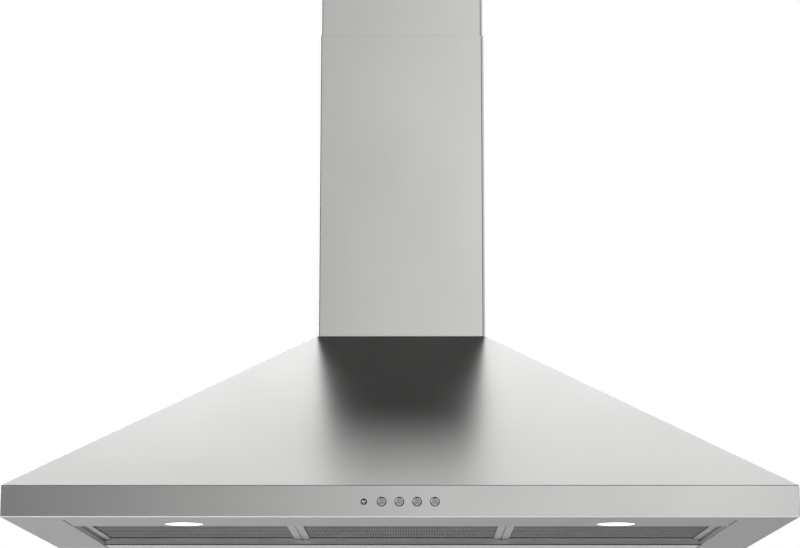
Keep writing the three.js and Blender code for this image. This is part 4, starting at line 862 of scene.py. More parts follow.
@dataclass
class HoodPlan:
    """Main sizes of the hood, read from the frame's nodes."""

    half: float
    front: float
    under: float
    band_top: float
    slope_top: float
    chimney_half: float
    chimney_front: float
    rear: float = -1.3 * MM
    gap: float = 0.3 * MM

    @classmethod
    def from_frame(cls) -> "HoodPlan":
        """Reads the boxes of the band, the back panel and the lower cover.

        Returns:
            The plan.
        """
        band, back, cover = (Box.of(node) for node in ("skirt_band", "back_panel", "lower_chimney_cover"))
        return cls(band.high[0], band.low[1], band.low[2], band.high[2], back.high[2],
                   cover.high[0], cover.low[1])

    def slope_at(self, z: float) -> tuple[float, float]:
        """Half width and front of the pyramid at a height."""
        share = (z - self.band_top) / (self.slope_top - self.band_top)
        return (self.half + share * (self.chimney_half - self.half),
                self.front + share * (self.chimney_front - self.front))

    def inset(self) -> tuple[float, float]:
        """How far a sheet's thickness reaches in from the side slopes and from the front slope."""
        rise = self.slope_top - self.band_top
        return (SHEET * math.hypot(rise, self.half - self.chimney_half) / rise,
                SHEET * math.hypot(rise, self.chimney_front - self.front) / rise)


@dataclass
class Canopy:
    """Pyramid of sheet with its lap in the band, its top plate, its throat and its upstand."""

    plan: HoodPlan
    corner: float = 0.8 * MM
    inner_corner: float = 0.4 * MM
    upstand_inset: float = 1.1 * MM
    upstand_height: float = 12 * MM
    throat_half: float = 86 * MM
    throat_front: float = -194 * MM
    throat_rear: float = -20 * MM
    flange: float = 12 * MM
    flange_foot: float = 2.4 * MM
    lap: float = 8 * MM

    def section(self) -> Levels:
        """The sheet's closed section from the lap up the slope, round the throat and down inside.

        Returns:
            (half width, front, height, corner radius) for each point.
        """
        plan, outer, inner = self.plan, self.corner, self.inner_corner
        side, face = plan.inset()
        foot, lap_foot = plan.band_top + plan.gap, plan.band_top - self.lap
        top, under = plan.slope_top, plan.slope_top - SHEET
        peak = top + self.upstand_height
        lap = (plan.half - SHEET - plan.gap, plan.front + SHEET + plan.gap)
        stand = (plan.chimney_half - self.upstand_inset, plan.chimney_front + self.upstand_inset)
        lap_inside, stand_inside = ((half - SHEET, front + SHEET) for half, front in (lap, stand))
        throat = (self.throat_half, self.throat_front)
        slope_inside = [(half - side, front + face) for half, front in map(plan.slope_at, (under, foot))]
        return [
            (*lap, lap_foot, outer), (*lap, foot, outer),
            (*plan.slope_at(foot), foot, outer), (*plan.slope_at(top), top, outer),
            (*stand, top, outer), (*stand, peak, outer),
            (*stand_inside, peak, inner), (*stand_inside, top, inner),
            (*throat, top, inner), (*throat, under, inner),
            (*slope_inside[0], under, inner), (*slope_inside[1], foot, inner),
            (*lap_inside, foot - SHEET, inner), (*lap_inside, lap_foot, inner),
        ]

    def build(self, shop: Workshop) -> None:
        """Builds the pyramid, its rear strip behind the throat and its rear flange.

        Args:
            shop: The workshop.
        """
        plan = self.plan
        rear, top, under = plan.rear, plan.slope_top, plan.slope_top - SHEET
        side = plan.inset()[0]
        low, high = plan.band_top + self.flange_foot, under - SHEET
        wide, narrow = (plan.slope_at(z)[0] - side for z in (low, high))
        parts = [
            tube(u_rings(self.section(), rear)),
            soft_box((-self.throat_half, self.throat_rear, under), (self.throat_half, rear, top), SHEET_EDGE),
            soft_box((-narrow, rear - SHEET, under - self.flange), (narrow, rear, under), SHEET_EDGE),
        ]
        for sign in SIDES:
            corners = [(sign * wide, low), (sign * (wide - self.flange), low),
                       (sign * (narrow - self.flange), high), (sign * narrow, high)]
            parts.append(tube(np.array([[(x, y, z) for x, z in corners] for y in (rear, rear - SHEET)])))
        shop.add("canopy_sheet", joined(parts), "hood_steel", nodes=["canopy_shell"])


@dataclass
class Band:
    """Upright band, folded under into the lamp apron and the side flanges."""

    plan: HoodPlan
    corner: float = 1 * MM
    inner_corner: float = 0.4 * MM
    opening_corner: float = 0.2 * MM
    corner_steps: int = 8
    fold: float = 1.15 * MM
    fold_round: float = 0.3 * MM
    edge: float = 0.6 * MM
    flange_width: float = 67 * MM
    apron_depth: float = 115 * MM
    seam: float = 1.2 * MM
    seam_play: float = 0.05 * MM
    seam_end: float = 10 * MM
    mitre_inset: float = 3 * MM
    mitre_depth: float = 34 * MM
    mitre_groove: float = 0.7 * MM
    lamp_radius: float = 22.3 * MM
    lamp_segments: int = 64
    button_radius: float = 5.45 * MM
    indicator_radius: float = 3.6 * MM
    level_from: float = 0.9
    fold_from: float = -0.3

    def section(self) -> Levels:
        """Closed section of the sheet, from its top edge down, round the fold and in below.

        The fold is a face at 45 degrees between two rounds of 45 degrees each.

        Returns:
            (half width, front, height, corner radius) for each point.
        """
        plan, r, top = self.plan, self.fold_round, self.plan.band_top - self.plan.under
        reach = self.fold + r * math.tan(math.radians(45 / 2))
        outside = [(SHEET, top), (self.edge, top), (0.0, top - self.edge),
                   *arc_profile((r, reach), r, 180, 225, 2), *arc_profile((reach, r), r, 225, 270, 2)]
        inside = [(reach, SHEET), (SHEET, reach)]

        def level(inset: float, height: float) -> tuple[float, float, float, float]:
            """Section point at a distance in from the outer face and above the underside."""
            corner = max(self.corner - inset, self.inner_corner)
            return (plan.half - inset, plan.front + inset, plan.under + height, corner)

        opening = (plan.half - self.flange_width, plan.front + self.apron_depth)
        return [
            *(level(*point) for point in outside),
            (*opening, plan.under, self.opening_corner),
            (*opening, plan.under + SHEET, self.opening_corner),
            *(level(*point) for point in inside),
        ]

    def cutters(self) -> list[Surface]:
        """Holes for lamps, buttons and indicator, seam gaps and mitre grooves.

        Returns:
            Closed surfaces to cut away.
        """
        plan = self.plan
        below, ahead = plan.under - SHEET, plan.front - SHEET
        holes = []
        for side in ("left", "right"):
            x, y, _ = Box.of(f"lamp_housing_{side}").middle
            profile = rectangle(self.lamp_radius, THROUGH)
            holes.append(turned(profile, (x, y, below), Axis.UP, self.lamp_segments))
        radii = {"indicator_lens": self.indicator_radius}
        radii.update({f"push_button_{number}": self.button_radius for number in range(1, 5)})
        for name, radius in radii.items():
            x, _, z = Box.of(name).middle
            holes.append(turned(rectangle(radius, THROUGH), (x, ahead, z), Axis.BACK, HOLE_SEGMENTS))
        opening = plan.half - self.flange_width
        for sign in SIDES:
            x_low, x_high = sorted((sign * opening, sign * (opening + self.seam)))
            holes.append(soft_box((x_low - self.seam_play, plan.front + self.mitre_depth, below),
                                  (x_high + self.seam_play, self.seam_end, plan.under + 2 * SHEET),
                                  CUTTER_EDGE, 1))
            start = np.array([sign * (plan.half - self.mitre_inset), plan.front + self.mitre_inset])
            end = np.array([sign * (opening + self.mitre_inset), plan.front + self.mitre_depth - MM])
            run = (end - start) / np.linalg.norm(end - start)
            across = np.array([-run[1], run[0]]) * self.seam / 2
            outline = np.array([start - across, end - across, end + across, start + across])
            rings = [np.column_stack([outline, np.full(len(outline), z)])
                     for z in (below, plan.under + self.mitre_groove)]
            holes.append(tube(np.array(rings)))
        return holes

    def build(self, shop: Workshop) -> None:
        """Builds the band: its underside has the brush along X, and its fold takes a lighter copy of the
        steel, a painted highlight.

        Args:
            shop: The workshop.
        """
        sheet = tube(u_rings(self.section(), self.plan.rear, self.corner_steps))
        piece = shop.add("band_sheet", sheet, "band_steel", nodes=["skirt_band"], cuts=[self.cutters()])
        # The fold's finish is a lighter copy of the steel, which paints a highlight along the fold.
        for finish in ("underside_steel", "fold_highlight_steel"):
            piece.data.materials.append(shop.finishes[finish])
        normals = np.empty(len(piece.data.polygons) * 3)
        piece.data.polygons.foreach_get("normal", normals)
        upward = normals.reshape(-1, 3)[:, 2]
        numbers = np.where(np.abs(upward) > self.level_from, 1, np.where(upward < self.fold_from, 2, 0))
        piece.data.polygons.foreach_set("material_index", numbers.astype(np.int32))


@dataclass
class BackPanel:
    """Rear sheet with two keyholes, and the level rail at its foot."""

    plan: HoodPlan
    keyhole_x: float = 120 * MM
    keyhole_mouth: float = -12 * MM
    mouth_radius: float = 6 * MM
    slot_radius: float = 3 * MM
    rail_inset: float = 67.3 * MM

    def build(self, shop: Workshop) -> None:
        """Builds the panel as an upright sheet, cuts its keyholes, and adds the rail.

        Args:
            shop: The workshop.
        """
        plan, box = self.plan, Box.of("back_panel")
        outline = [(-plan.half, box.low[2]), (plan.half, box.low[2]), (plan.half, plan.band_top),
                   (plan.chimney_half, plan.slope_top), (-plan.chimney_half, plan.slope_top),
                   (-plan.half, plan.band_top)]
        rings = [[(x, y, z) for x, z in outline] for y in (-SHEET, 0.0)]
        cuts = []
        for sign in SIDES:
            x, y = sign * self.keyhole_x, -2 * SHEET
            for radius, z in ((self.mouth_radius, self.keyhole_mouth), (self.slot_radius, 0.0)):
                cuts.append([turned(rectangle(radius, THROUGH), (x, y, z), Axis.BACK, HOLE_SEGMENTS)])
            cuts.append([soft_box((x - self.slot_radius, y, self.keyhole_mouth),
                                  (x + self.slot_radius, SHEET, 0.0), CUTTER_EDGE, 1)])
        shop.add("back_sheet", tube(np.array(rings)), "hood_steel", nodes=["back_panel"], cuts=cuts)
        rail_half = plan.half - self.rail_inset
        section = rectangle(box.size[1] - SHEET / 2, SHEET)
        points = np.array([[(x, box.low[1] + across, box.low[2] + up) for across, up in section]
                           for x in (-rail_half, rail_half)])
        # The rail's finish is a lighter copy of the steel, a painted brighter reflection.
        shop.add("rear_rail", tube(points), "rail_highlight_steel", nodes=["back_panel"], slot="hood_steel")


# ---- Chimney --------------------------------------------------------------------------------


@dataclass
class ChimneyCover:
    """U of sheet open to the wall, with round bends and a return at each rear edge."""

    name: str
    node: str
    body: str
    bend: float = 4 * MM
    rear_bend: float = 1.6 * MM
    thickness: float = 0.8 * MM
    returned: float = 15 * MM
    edge: float = 0.15 * MM

    def build(self, shop: Workshop) -> None:
        """Builds the cover from its node's box.

        Args:
            shop: The workshop.
        """
        box = Box.of(self.node)
        half, front, rear = box.high[0], box.low[1], box.high[1]
        low, high = box.low[2], box.high[2]
        corners = [(-half + self.returned, rear), (-half, rear), (-half, front),
                   (half, front), (half, rear), (half - self.returned, rear)]
        e, t = self.edge, self.thickness
        section = [(e, low), (0, low + e), (0, high - e), (e, high),
                   (t - e, high), (t, high - e), (t, low + e), (t - e, low)]
        rings = bent_rings(corners, (self.rear_bend, self.bend, self.bend, self.rear_bend), section)
        shop.add(self.name, tube(rings), "chimney_steel", self.body, [self.node])


@dataclass
class PanHead:
    """Pan-head screw with a cross recess, facing left, right or up."""

    node: str
    body: str
    axis: Axis
    head_radius: float = 3.6 * MM
    head_height: float = 1.8 * MM
    shank: float = 2 * MM
    tip_share: float = 0.7
    tip_length: float = 0.8 * MM
    recess: float = 1.1 * MM
    recess_reach: float = 2 * MM
    recess_half: float = 0.45 * MM
    segments: int = 28

    def build(self, shop: Workshop) -> None:
        """Builds the screw from its node's box.

        Args:
            shop: The workshop.
        """
        box, (u, v, w) = Box.of(self.node), self.axis.vectors
        length = float(np.abs(box.size @ w)) - self.head_height
        seat = box.middle + w * ((length + self.head_height) / 2 - self.head_height)
        crown = arc_profile((self.head_radius - self.head_height, 0), self.head_height, 0, 90, 5)
        profile = [(0, -length), (self.shank * self.tip_share, -length),
                   (self.shank, -length + self.tip_length), (self.shank, 0),
                   *crown, (0, self.head_height)]
        top = seat + w * self.head_height
        cuts = []
        for long_way, short_way in ((u, v), (v, u)):
            reach = (np.abs(long_way) * self.recess_reach + np.abs(short_way) * self.recess_half
                     + np.abs(w) * self.recess)
            cuts.append([soft_box(top - reach, top + reach, FINE_EDGE, 1)])
        screw = turned(profile, seat, self.axis, self.segments)
        shop.add(f"{self.node}_head", screw, "zinc_plate", self.body, [self.node], cuts=cuts)


# ---- Lamps and controls ---------------------------------------------------------------------


@dataclass
class Lamp:
    """Round lamp: a can with a slanted rim under the apron and a frosted lens, nearly flush."""

    side: str
    body_radius: float = 22 * MM
    wall: float = 1.6 * MM
    draft: float = 0.01 * MM
    shoulder: float = 3 * MM
    rim_height: float = 1.1 * MM
    rim_web: float = 0.6 * MM
    rim_edge: float = 0.1 * MM
    rise: float = 0.5 * MM
    play: float = 0.15 * MM
    lens_radius: float = 21.7 * MM
    lens_edge: float = 0.5 * MM
    lens_step: float = 0.5 * MM
    segments: int = 72

    def build(self, shop: Workshop) -> None:
        """Builds the can and the lens.

        Args:
            shop: The workshop.
        """
        can, lens = Box.of(f"lamp_housing_{self.side}"), Box.of(f"lamp_lens_{self.side}")
        x, y = can.middle[:2]
        rim, height, seat = can.size[0] / 2, can.size[2], lens.high[2] - can.low[2]
        body, bore, core = (self.body_radius - count * self.wall for count in range(3))
        roof, web = height - self.wall, self.rim_height + self.rim_web
        inner, lip = self.lens_radius + self.play, self.rise + self.rim_edge
        profile = [(inner, lip), (inner + self.play, self.rise), (rim, self.rim_height - self.rim_edge),
                   (rim, self.rim_height), (body + self.draft, self.rim_height),
                   (body, height - self.shoulder), (body - self.shoulder, height), (0, height), (0, roof),
                   (core, roof), (core, seat), (bore, seat), (bore, web), (inner, web), (inner, lip)]
        shop.add(f"lamp_can_{self.side}", turned(profile, (x, y, can.low[2]), Axis.UP, self.segments),
                 "zinc_plate", nodes=[f"lamp_housing_{self.side}"])
        step, depth, radius = self.rim_height - self.rise + self.lens_step, seat - self.rise, lens.size[0] / 2
        edge = arc_profile((self.lens_radius - self.lens_edge, self.lens_edge), self.lens_edge, -90, 0, 4)
        face = [(0, 0), *edge, (self.lens_radius, step), (radius, step), (radius, depth), (0, depth)]
        centre = (x, y, can.low[2] + self.rise)
        shop.add(f"lamp_glass_{self.side}", turned(face, centre, Axis.UP, self.segments),
                 "lamp_lens", nodes=[f"lamp_lens_{self.side}"])


@dataclass
class PushButton:
    """Round metal cap, whose bevel takes a lighter copy of the metal as a painted highlight round a darker
    face, on a black collar and stem behind the band.
    """

    number: int
    radius: float = 4.5 * MM
    proud: float = 2.6 * MM
    bevel: float = 0.8 * MM
    groove: float = 0.2 * MM
    groove_width: float = 0.3 * MM
    groove_slope: float = 0.15 * MM
    face_bed: float = 0.5 * MM
    face_play: float = 0.02 * MM
    face_thickness: float = 0.4 * MM
    skirt: float = 1.3 * MM
    collar_thickness: float = 1.2 * MM
    stem_radius: float = 2.2 * MM
    segments: int = 56

    def build(self, shop: Workshop) -> None:
        """Builds cap, face and stem from the node's box.

        Args:
            shop: The workshop.
        """
        node, body = f"push_button_{self.number}", f"button_{self.number}"
        box = Box.of(node)
        centre = (box.middle[0], box.low[1], box.middle[2])
        collar_radius, length = box.size[0] / 2, box.size[1]
        collar, rim = self.proud + self.skirt, self.radius - self.bevel
        face, bed = rim - self.groove_width, self.groove + self.face_bed
        disc, disc_rear = face - self.face_play, self.groove + self.face_thickness
        collar_rear, stem = collar + self.collar_thickness, self.stem_radius
        profiles = {
            "cap": [(face, self.groove), (face + self.groove_slope, 0), (rim, 0), (self.radius, self.bevel),
                    (self.radius, collar), (0, collar), (0, bed), (face, bed), (face, self.groove)],
            "face": [(0, self.groove), (disc, self.groove), (disc, disc_rear), (0, disc_rear)],
            "stem": [(0, collar), (collar_radius, collar), (collar_radius, collar_rear),
                     (stem, collar_rear), (stem, length), (0, length)],
        }
        # The cap's finish is the lighter copy of the button metal, a painted highlight on its bevel.
        finishes = {"cap": "button_highlight_bevel", "face": "button_metal", "stem": "collar_black"}
        for part, profile in profiles.items():
            shape = turned(profile, centre, Axis.BACK, self.segments)
            shop.add(f"button_{part}_{self.number}", shape, finishes[part], body,
                     [node] if part == "cap" else [], "button_metal")


@dataclass
class Indicator:
    """Small unlit dome in a black ring, left of the buttons."""

    node: str = "indicator_lens"
    lens_radius: float = 2.4 * MM
    proud: float = 0.9 * MM
    dome_rise: float = 1.5 * MM
    dome_steps: int = 9
    ring_edge: float = 0.25 * MM
    ring_lip: float = 0.1 * MM
    segments: int = 48

    def build(self, shop: Workshop) -> None:
        """Builds the dome and the ring from the node's box.

        Args:
            shop: The workshop.
        """
        box = Box.of(self.node)
        centre = (box.middle[0], box.low[1], box.middle[2])
        radius, length, seat = box.size[0] / 2, box.size[1], 2 * self.proud
        turn = np.linspace(0, math.pi / 2, self.dome_steps + 1)
        dome = list(zip(self.lens_radius * np.sin(turn), self.dome_rise * (1 - np.cos(turn))))
        profile = [*dome, (self.lens_radius, seat), (0, seat)]
        shop.add("indicator_dome", turned(profile, centre, Axis.BACK, self.segments), "indicator_red",
                 nodes=[self.node])
        rim = arc_profile((radius - self.ring_edge, self.proud + self.ring_edge), self.ring_edge, -90, 0, 4)
        profile = [(self.lens_radius, seat), (self.lens_radius, self.proud + self.ring_lip), *rim,
                   (radius, length), (0, length), (0, seat)]
        shop.add("indicator_ring", turned(profile, centre, Axis.BACK, self.segments), "collar_black",
                 slot="indicator_red")


# ---- Filters --------------------------------------------------------------------------------


@dataclass(frozen=True)
class ExpandedNet:
    """Expanded aluminium: staggered diamonds, each strand a twisted ribbon between two knuckles."""

    pitch: Range = (6.4 * MM, 3.8 * MM)
    strand: float = 0.62 * MM
    thickness: float = 0.26 * MM
    lift: float = 0.16 * MM
    lean: float = 0.85
    wave: float = 0.85 * MM
    wave_length: float = 50 * MM

    def surface(self, low: np.ndarray, high: np.ndarray, height: float, notch: Range) -> Surface:
        """Net over a rectangle, with a notch at the middle of its front for the latch.

        Knuckles stand on the points (i px / 2, j py / 2) with i + j even. A strand runs from one to
        the next at i + 1, j + 1 or j - 1 as a bar of four sides whose section leans by its slope.

        Args:
            low: Lowest x and y.
            high: Highest x and y.
            height: Height of the net's middle.
            notch: Half width of the notch and the y of its rear.

        Returns:
            All strands as one surface.
        """
        size = high - low
        columns, rows = (max(2, 2 * round(length / pitch)) for length, pitch in zip(size, self.pitch))
        step = size / (columns, rows)
        i, j = np.meshgrid(np.arange(columns), np.arange(rows + 1), indexing="ij")
        starts, ends = [], []
        for rise in (1, -1):
            keep = ((i + j) % 2 == 0) & (j + rise >= 0) & (j + rise <= rows)
            starts.append(np.stack([i[keep], j[keep]], 1))
            ends.append(starts[-1] + (1, rise))
        start, end = np.concatenate(starts), np.concatenate(ends)
        p, q = low + start * step, low + end * step
        middle = (p + q) / 2
        outside = (np.abs(middle[:, 0] - (low[0] + high[0]) / 2) > notch[0]) | (middle[:, 1] > notch[1])
        start, end, p, q = start[outside], end[outside], p[outside], q[outside]
        rise = np.sign(end[:, 1] - start[:, 1])[:, None]

        def lifted(at: np.ndarray, tilt: float) -> np.ndarray:
            """Adds the slow wave and the strand's own lift as height."""
            wave = self.wave * np.cos(2 * math.pi * (at[:, 1] - low[1]) / self.wave_length)
            return np.column_stack([at, height + wave + tilt * self.lift])

        p, q = lifted(p, -1.0), lifted(q, 1.0)
        along = q - p
        along /= np.linalg.norm(along, axis=1)[:, None]
        flat = np.column_stack([-along[:, 1], along[:, 0], np.zeros(len(along))]) * rise
        lean = flat + np.array([0, 0, self.lean])
        lean -= np.sum(lean * along, axis=1)[:, None] * along
        lean /= np.linalg.norm(lean, axis=1)[:, None]
        thin = np.cross(along, lean)
        sections = np.array([(-1, -1), (1, -1), (1, 1), (-1, 1)], float)
        wide = sections[:, 0][None, :, None] * lean[:, None, :] * self.strand / 2
        deep = sections[:, 1][None, :, None] * thin[:, None, :] * self.thickness / 2
        over = along[:, None, :] * self.strand / 3
        rings = [p[:, None, :] - over + wide + deep, q[:, None, :] + over + wide + deep]
        bar = np.array([(0, 1, 5, 4), (1, 2, 6, 5), (2, 3, 7, 6), (3, 0, 4, 7), (3, 2, 1, 0), (4, 5, 6, 7)])
        faces = (bar[None] + 8 * np.arange(len(p))[:, None, None]).reshape(-1, 4)
        return Surface(np.concatenate(rings, 1).reshape(-1, 3), [tuple(face) for face in faces.tolist()])


@dataclass(frozen=True)
class Latch:
    """Latch of a filter: a sliding plate with a nose, and a ribbed finger grip on a stalk below it.

    The grip's span is counted from the plate's front edge, and the stalk's and ribs' from the grip's.
    """

    plate_half: float = 11 * MM
    plate_length: float = 15 * MM
    plate_thickness: float = 1.2 * MM
    plate_edge: float = 0.25 * MM
    nose_half: float = 5 * MM
    nose_lap: float = 2 * MM
    nose_edge: float = 0.2 * MM
    stalk_half: float = 4 * MM
    stalk_span: Range = (1 * MM, 7 * MM)
    stalk_sink: Range = (0.5 * MM, 0.4 * MM)
    stalk_edge: float = 0.2 * MM
    grip_half: float = 9 * MM
    grip_span: Range = (1 * MM, 9.4 * MM)
    grip_rise: float = 1.4 * MM
    grip_gap: float = 1.5 * MM
    grip_edge: float = 0.7 * MM
    ribs: int = 3
    rib_half: float = 8 * MM
    rib_start: float = 1.2 * MM
    rib_pitch: float = 2.6 * MM
    rib_width: float = 1.3 * MM
    rib_height: float = 2.2 * MM
    rib_edge: float = 0.5 * MM

    def surface(self, box: Box) -> Surface:
        """All of the latch as one surface.

        Args:
            box: Box of its node.

        Returns:
            The latch.
        """
        x, front, rear, bottom, top = box.middle[0], box.low[1], box.high[1], box.low[2], box.high[2]
        plate_low, plate_front = top - self.plate_thickness, rear - self.plate_length
        grip_front, grip_rear = (plate_front + part for part in self.grip_span)
        stalk_front, stalk_rear = (grip_front + part for part in self.stalk_span)
        grip_top = plate_low - self.grip_gap

        def block(half: float, y: Range, z: Range, edge: float, steps: int = 2) -> Surface:
            """Soft box about the latch's middle, of a half width and the given y and z."""
            return soft_box((x - half, y[0], z[0]), (x + half, y[1], z[1]), edge, steps)

        parts = [
            block(self.plate_half, (plate_front, rear), (plate_low, top), self.plate_edge),
            block(self.nose_half, (front, plate_front + self.nose_lap), (plate_low, top), self.nose_edge),
            block(self.stalk_half, (stalk_front, stalk_rear),
                  (grip_top - self.stalk_sink[0], plate_low + self.stalk_sink[1]), self.stalk_edge),
            block(self.grip_half, (grip_front, grip_rear), (bottom + self.grip_rise, grip_top),
                  self.grip_edge, 3),
        ]
        for number in range(self.ribs):
            y = grip_front + self.rib_start + self.rib_pitch * number
            parts.append(block(self.rib_half, (y, y + self.rib_width), (bottom, bottom + self.rib_height),
                               self.rib_edge, 3))
        return joined(parts)


@dataclass
class GreaseFilter:
    """One filter: a channel frame with rear tabs and a latch tongue, a net, and a sliding latch."""

    side: str
    bar: float = 9.5 * MM
    wall: float = 0.9 * MM
    groove: float = 6 * MM
    corner: float = 2.5 * MM
    edge: float = 1.3 * MM
    rear_edge: float = 0.5 * MM
    lip_edge: float = 0.2 * MM
    tab_width: float = 18 * MM
    tab_length: float = 7 * MM
    tab_spacing: float = 160 * MM
    tab_edge: float = 0.3 * MM
    tongue: Range = (46 * MM, 24 * MM)
    slot: Range = (9 * MM, 13 * MM)
    latch_travel: float = 6 * MM
    notch_play: float = 0.8 * MM
    net_inset: float = 1 * MM
    net_rise: float = 0.2 * MM
    layer: float = 0.5 * MM
    layer_play: float = 0.2 * MM
    net: ExpandedNet = field(default_factory=ExpandedNet)
    latch: Latch = field(default_factory=Latch)

    def frame_surface(self, low: np.ndarray, high: np.ndarray) -> Surface:
        """Channel that is open inwards, carried round the filter with its tabs and its tongue.

        Args:
            low: Lowest corner of the frame without its tabs.
            high: Highest corner of the frame without its tabs.

        Returns:
            The frame, its tabs and its tongue.
        """
        half, depth = (high - low)[:2] / 2, high[2] - low[2]
        x, y = (low[:2] + high[:2]) / 2
        bar, t, r, lip = self.bar, self.wall, self.rear_edge, self.lip_edge
        inside = bar - self.groove
        section = [*arc_profile((self.edge, self.edge), self.edge, 180, 270, 4),
                   (bar - lip, 0), (bar, lip), (bar, t), (inside, t), (inside, depth - t),
                   (bar, depth - t), (bar, depth), *arc_profile((r, depth - r), r, 90, 180, 3)]
        levels = [(half[0] - inset, half[1] - inset, z, max(self.corner - inset, lip))
                  for inset, z in section]
        parts = [tube(loop_rings(levels, (x, y, low[2])), closed_path=True)]
        for sign in SIDES:
            middle = x + sign * self.tab_spacing / 2
            parts.append(soft_box(
                (middle - self.tab_width / 2, high[1] - inside, low[2]),
                (middle + self.tab_width / 2, high[1] + self.tab_length, low[2] + SHEET), self.tab_edge))
        front, rear = low[1] + inside, low[1] + self.tongue[1]
        left, right = x - self.tongue[0] / 2, x + self.tongue[0] / 2
        hole_x, hole_y = self.slot[0] / 2, self.slot[1] / 2
        hole_middle = low[1] + bar + self.slot[1] / 2 + t
        runs = (((left, front), (x - hole_x, rear)), ((x + hole_x, front), (right, rear)),
                ((x - hole_x, front), (x + hole_x, hole_middle - hole_y)),
                ((x - hole_x, hole_middle + hole_y), (x + hole_x, rear)))
        parts += [soft_box((*a, low[2]), (*b, low[2] + t), FINE_EDGE, 1) for a, b in runs]
        return joined(parts)

    def build(self, shop: Workshop) -> None:
        """Builds frame, net, the layer in front of the core, and latch from their nodes' boxes.

        Args:
            shop: The workshop.
        """
        rim, net, core, latch = (Box.of(f"filter_{part}_{self.side}")
                                 for part in ("frame", "net", "core", "latch"))
        body, low, high = f"filter_{self.side}", rim.low, rim.high - (0, self.tab_length, 0)
        shop.add(f"filter_rim_{self.side}", self.frame_surface(low, high), "filter_frame_aluminium", body,
                 [f"filter_frame_{self.side}"])
        notch = (self.tongue[0] / 2 + self.notch_play,
                 low[1] + self.tongue[1] + self.latch_travel + self.notch_play)
        diamonds = self.net.surface(net.low[:2] + self.net_inset, net.high[:2] - self.net_inset,
                                    net.middle[2] + self.net_rise, notch)
        shop.add(f"filter_mesh_{self.side}", diamonds, "filter_mesh_aluminium", body,
                 [f"filter_net_{self.side}"], sharp=FACETED)
        layer = soft_box((net.low[0], net.low[1], core.low[2]),
                         (net.high[0], core.low[1] - self.layer_play, core.low[2] + self.layer),
                         SHEET_EDGE, 1)
        shop.add(f"filter_layer_{self.side}", layer, "filter_mesh_aluminium", body)
        shop.add(f"latch_grip_{self.side}", self.latch.surface(latch), "black_plastic",
                 f"latch_{self.side}", [f"filter_latch_{self.side}"])


@dataclass
class RecessShadeBeads:
    """Black beads round the filters, put there as painted shade in the gaps: one on an aluminium strip at
    each side wall, one at the rail.
    """

    plan: HoodPlan
    bead: float = 0.8 * MM
    depth: float = 0.4 * MM
    side_height: float = 4.9 * MM
    rear_height: float = 0.1 * MM
    strip: float = 0.3 * MM
    gap: float = 0.45 * MM
    front_inset: float = 1 * MM
    rear_inset: float = 8 * MM
    play: float = 0.1 * MM

    def build(self, shop: Workshop) -> None:
        """Builds the beads and the strips between the outer filters and the recess.

        Args:
            shop: The workshop.
        """
        low, high = Box.of("filter_frame_left").low, Box.of("filter_frame_right").high
        front, rear = low[1] + self.front_inset, high[1] - self.rear_inset
        side_low, rear_low = self.plan.under + self.side_height, self.plan.under + self.rear_height
        rail = Box.of("back_panel").low[1] - self.gap
        # The beads are black to paint the shade of the gaps round the filters.
        beads = [soft_box((low[0], rail, rear_low), (high[0], rail + self.depth, rear_low + self.bead),
                          SHEET_EDGE)]
        strips = []
        for wall, sign in ((low[0] - self.gap, 1), (high[0] + self.gap, -1)):
            x_low, x_high = sorted((wall, wall + sign * self.depth))
            beads.append(soft_box((x_low, front, side_low), (x_high, rear, side_low + self.bead), SHEET_EDGE))
            x_low, x_high = sorted((wall, wall + sign * self.strip))
            strips.append(soft_box((x_low, front, side_low + self.bead), (x_high, rear, low[2] - self.play),
                                   SHEET_EDGE, 1))
        shop.add("painted_shade_beads", joined(beads), "collar_black", slot="black_plastic")
        shop.add("bead_strips", joined(strips), "filter_frame_aluminium")


# ---- Outlet ---------------------------------------------------------------------------------


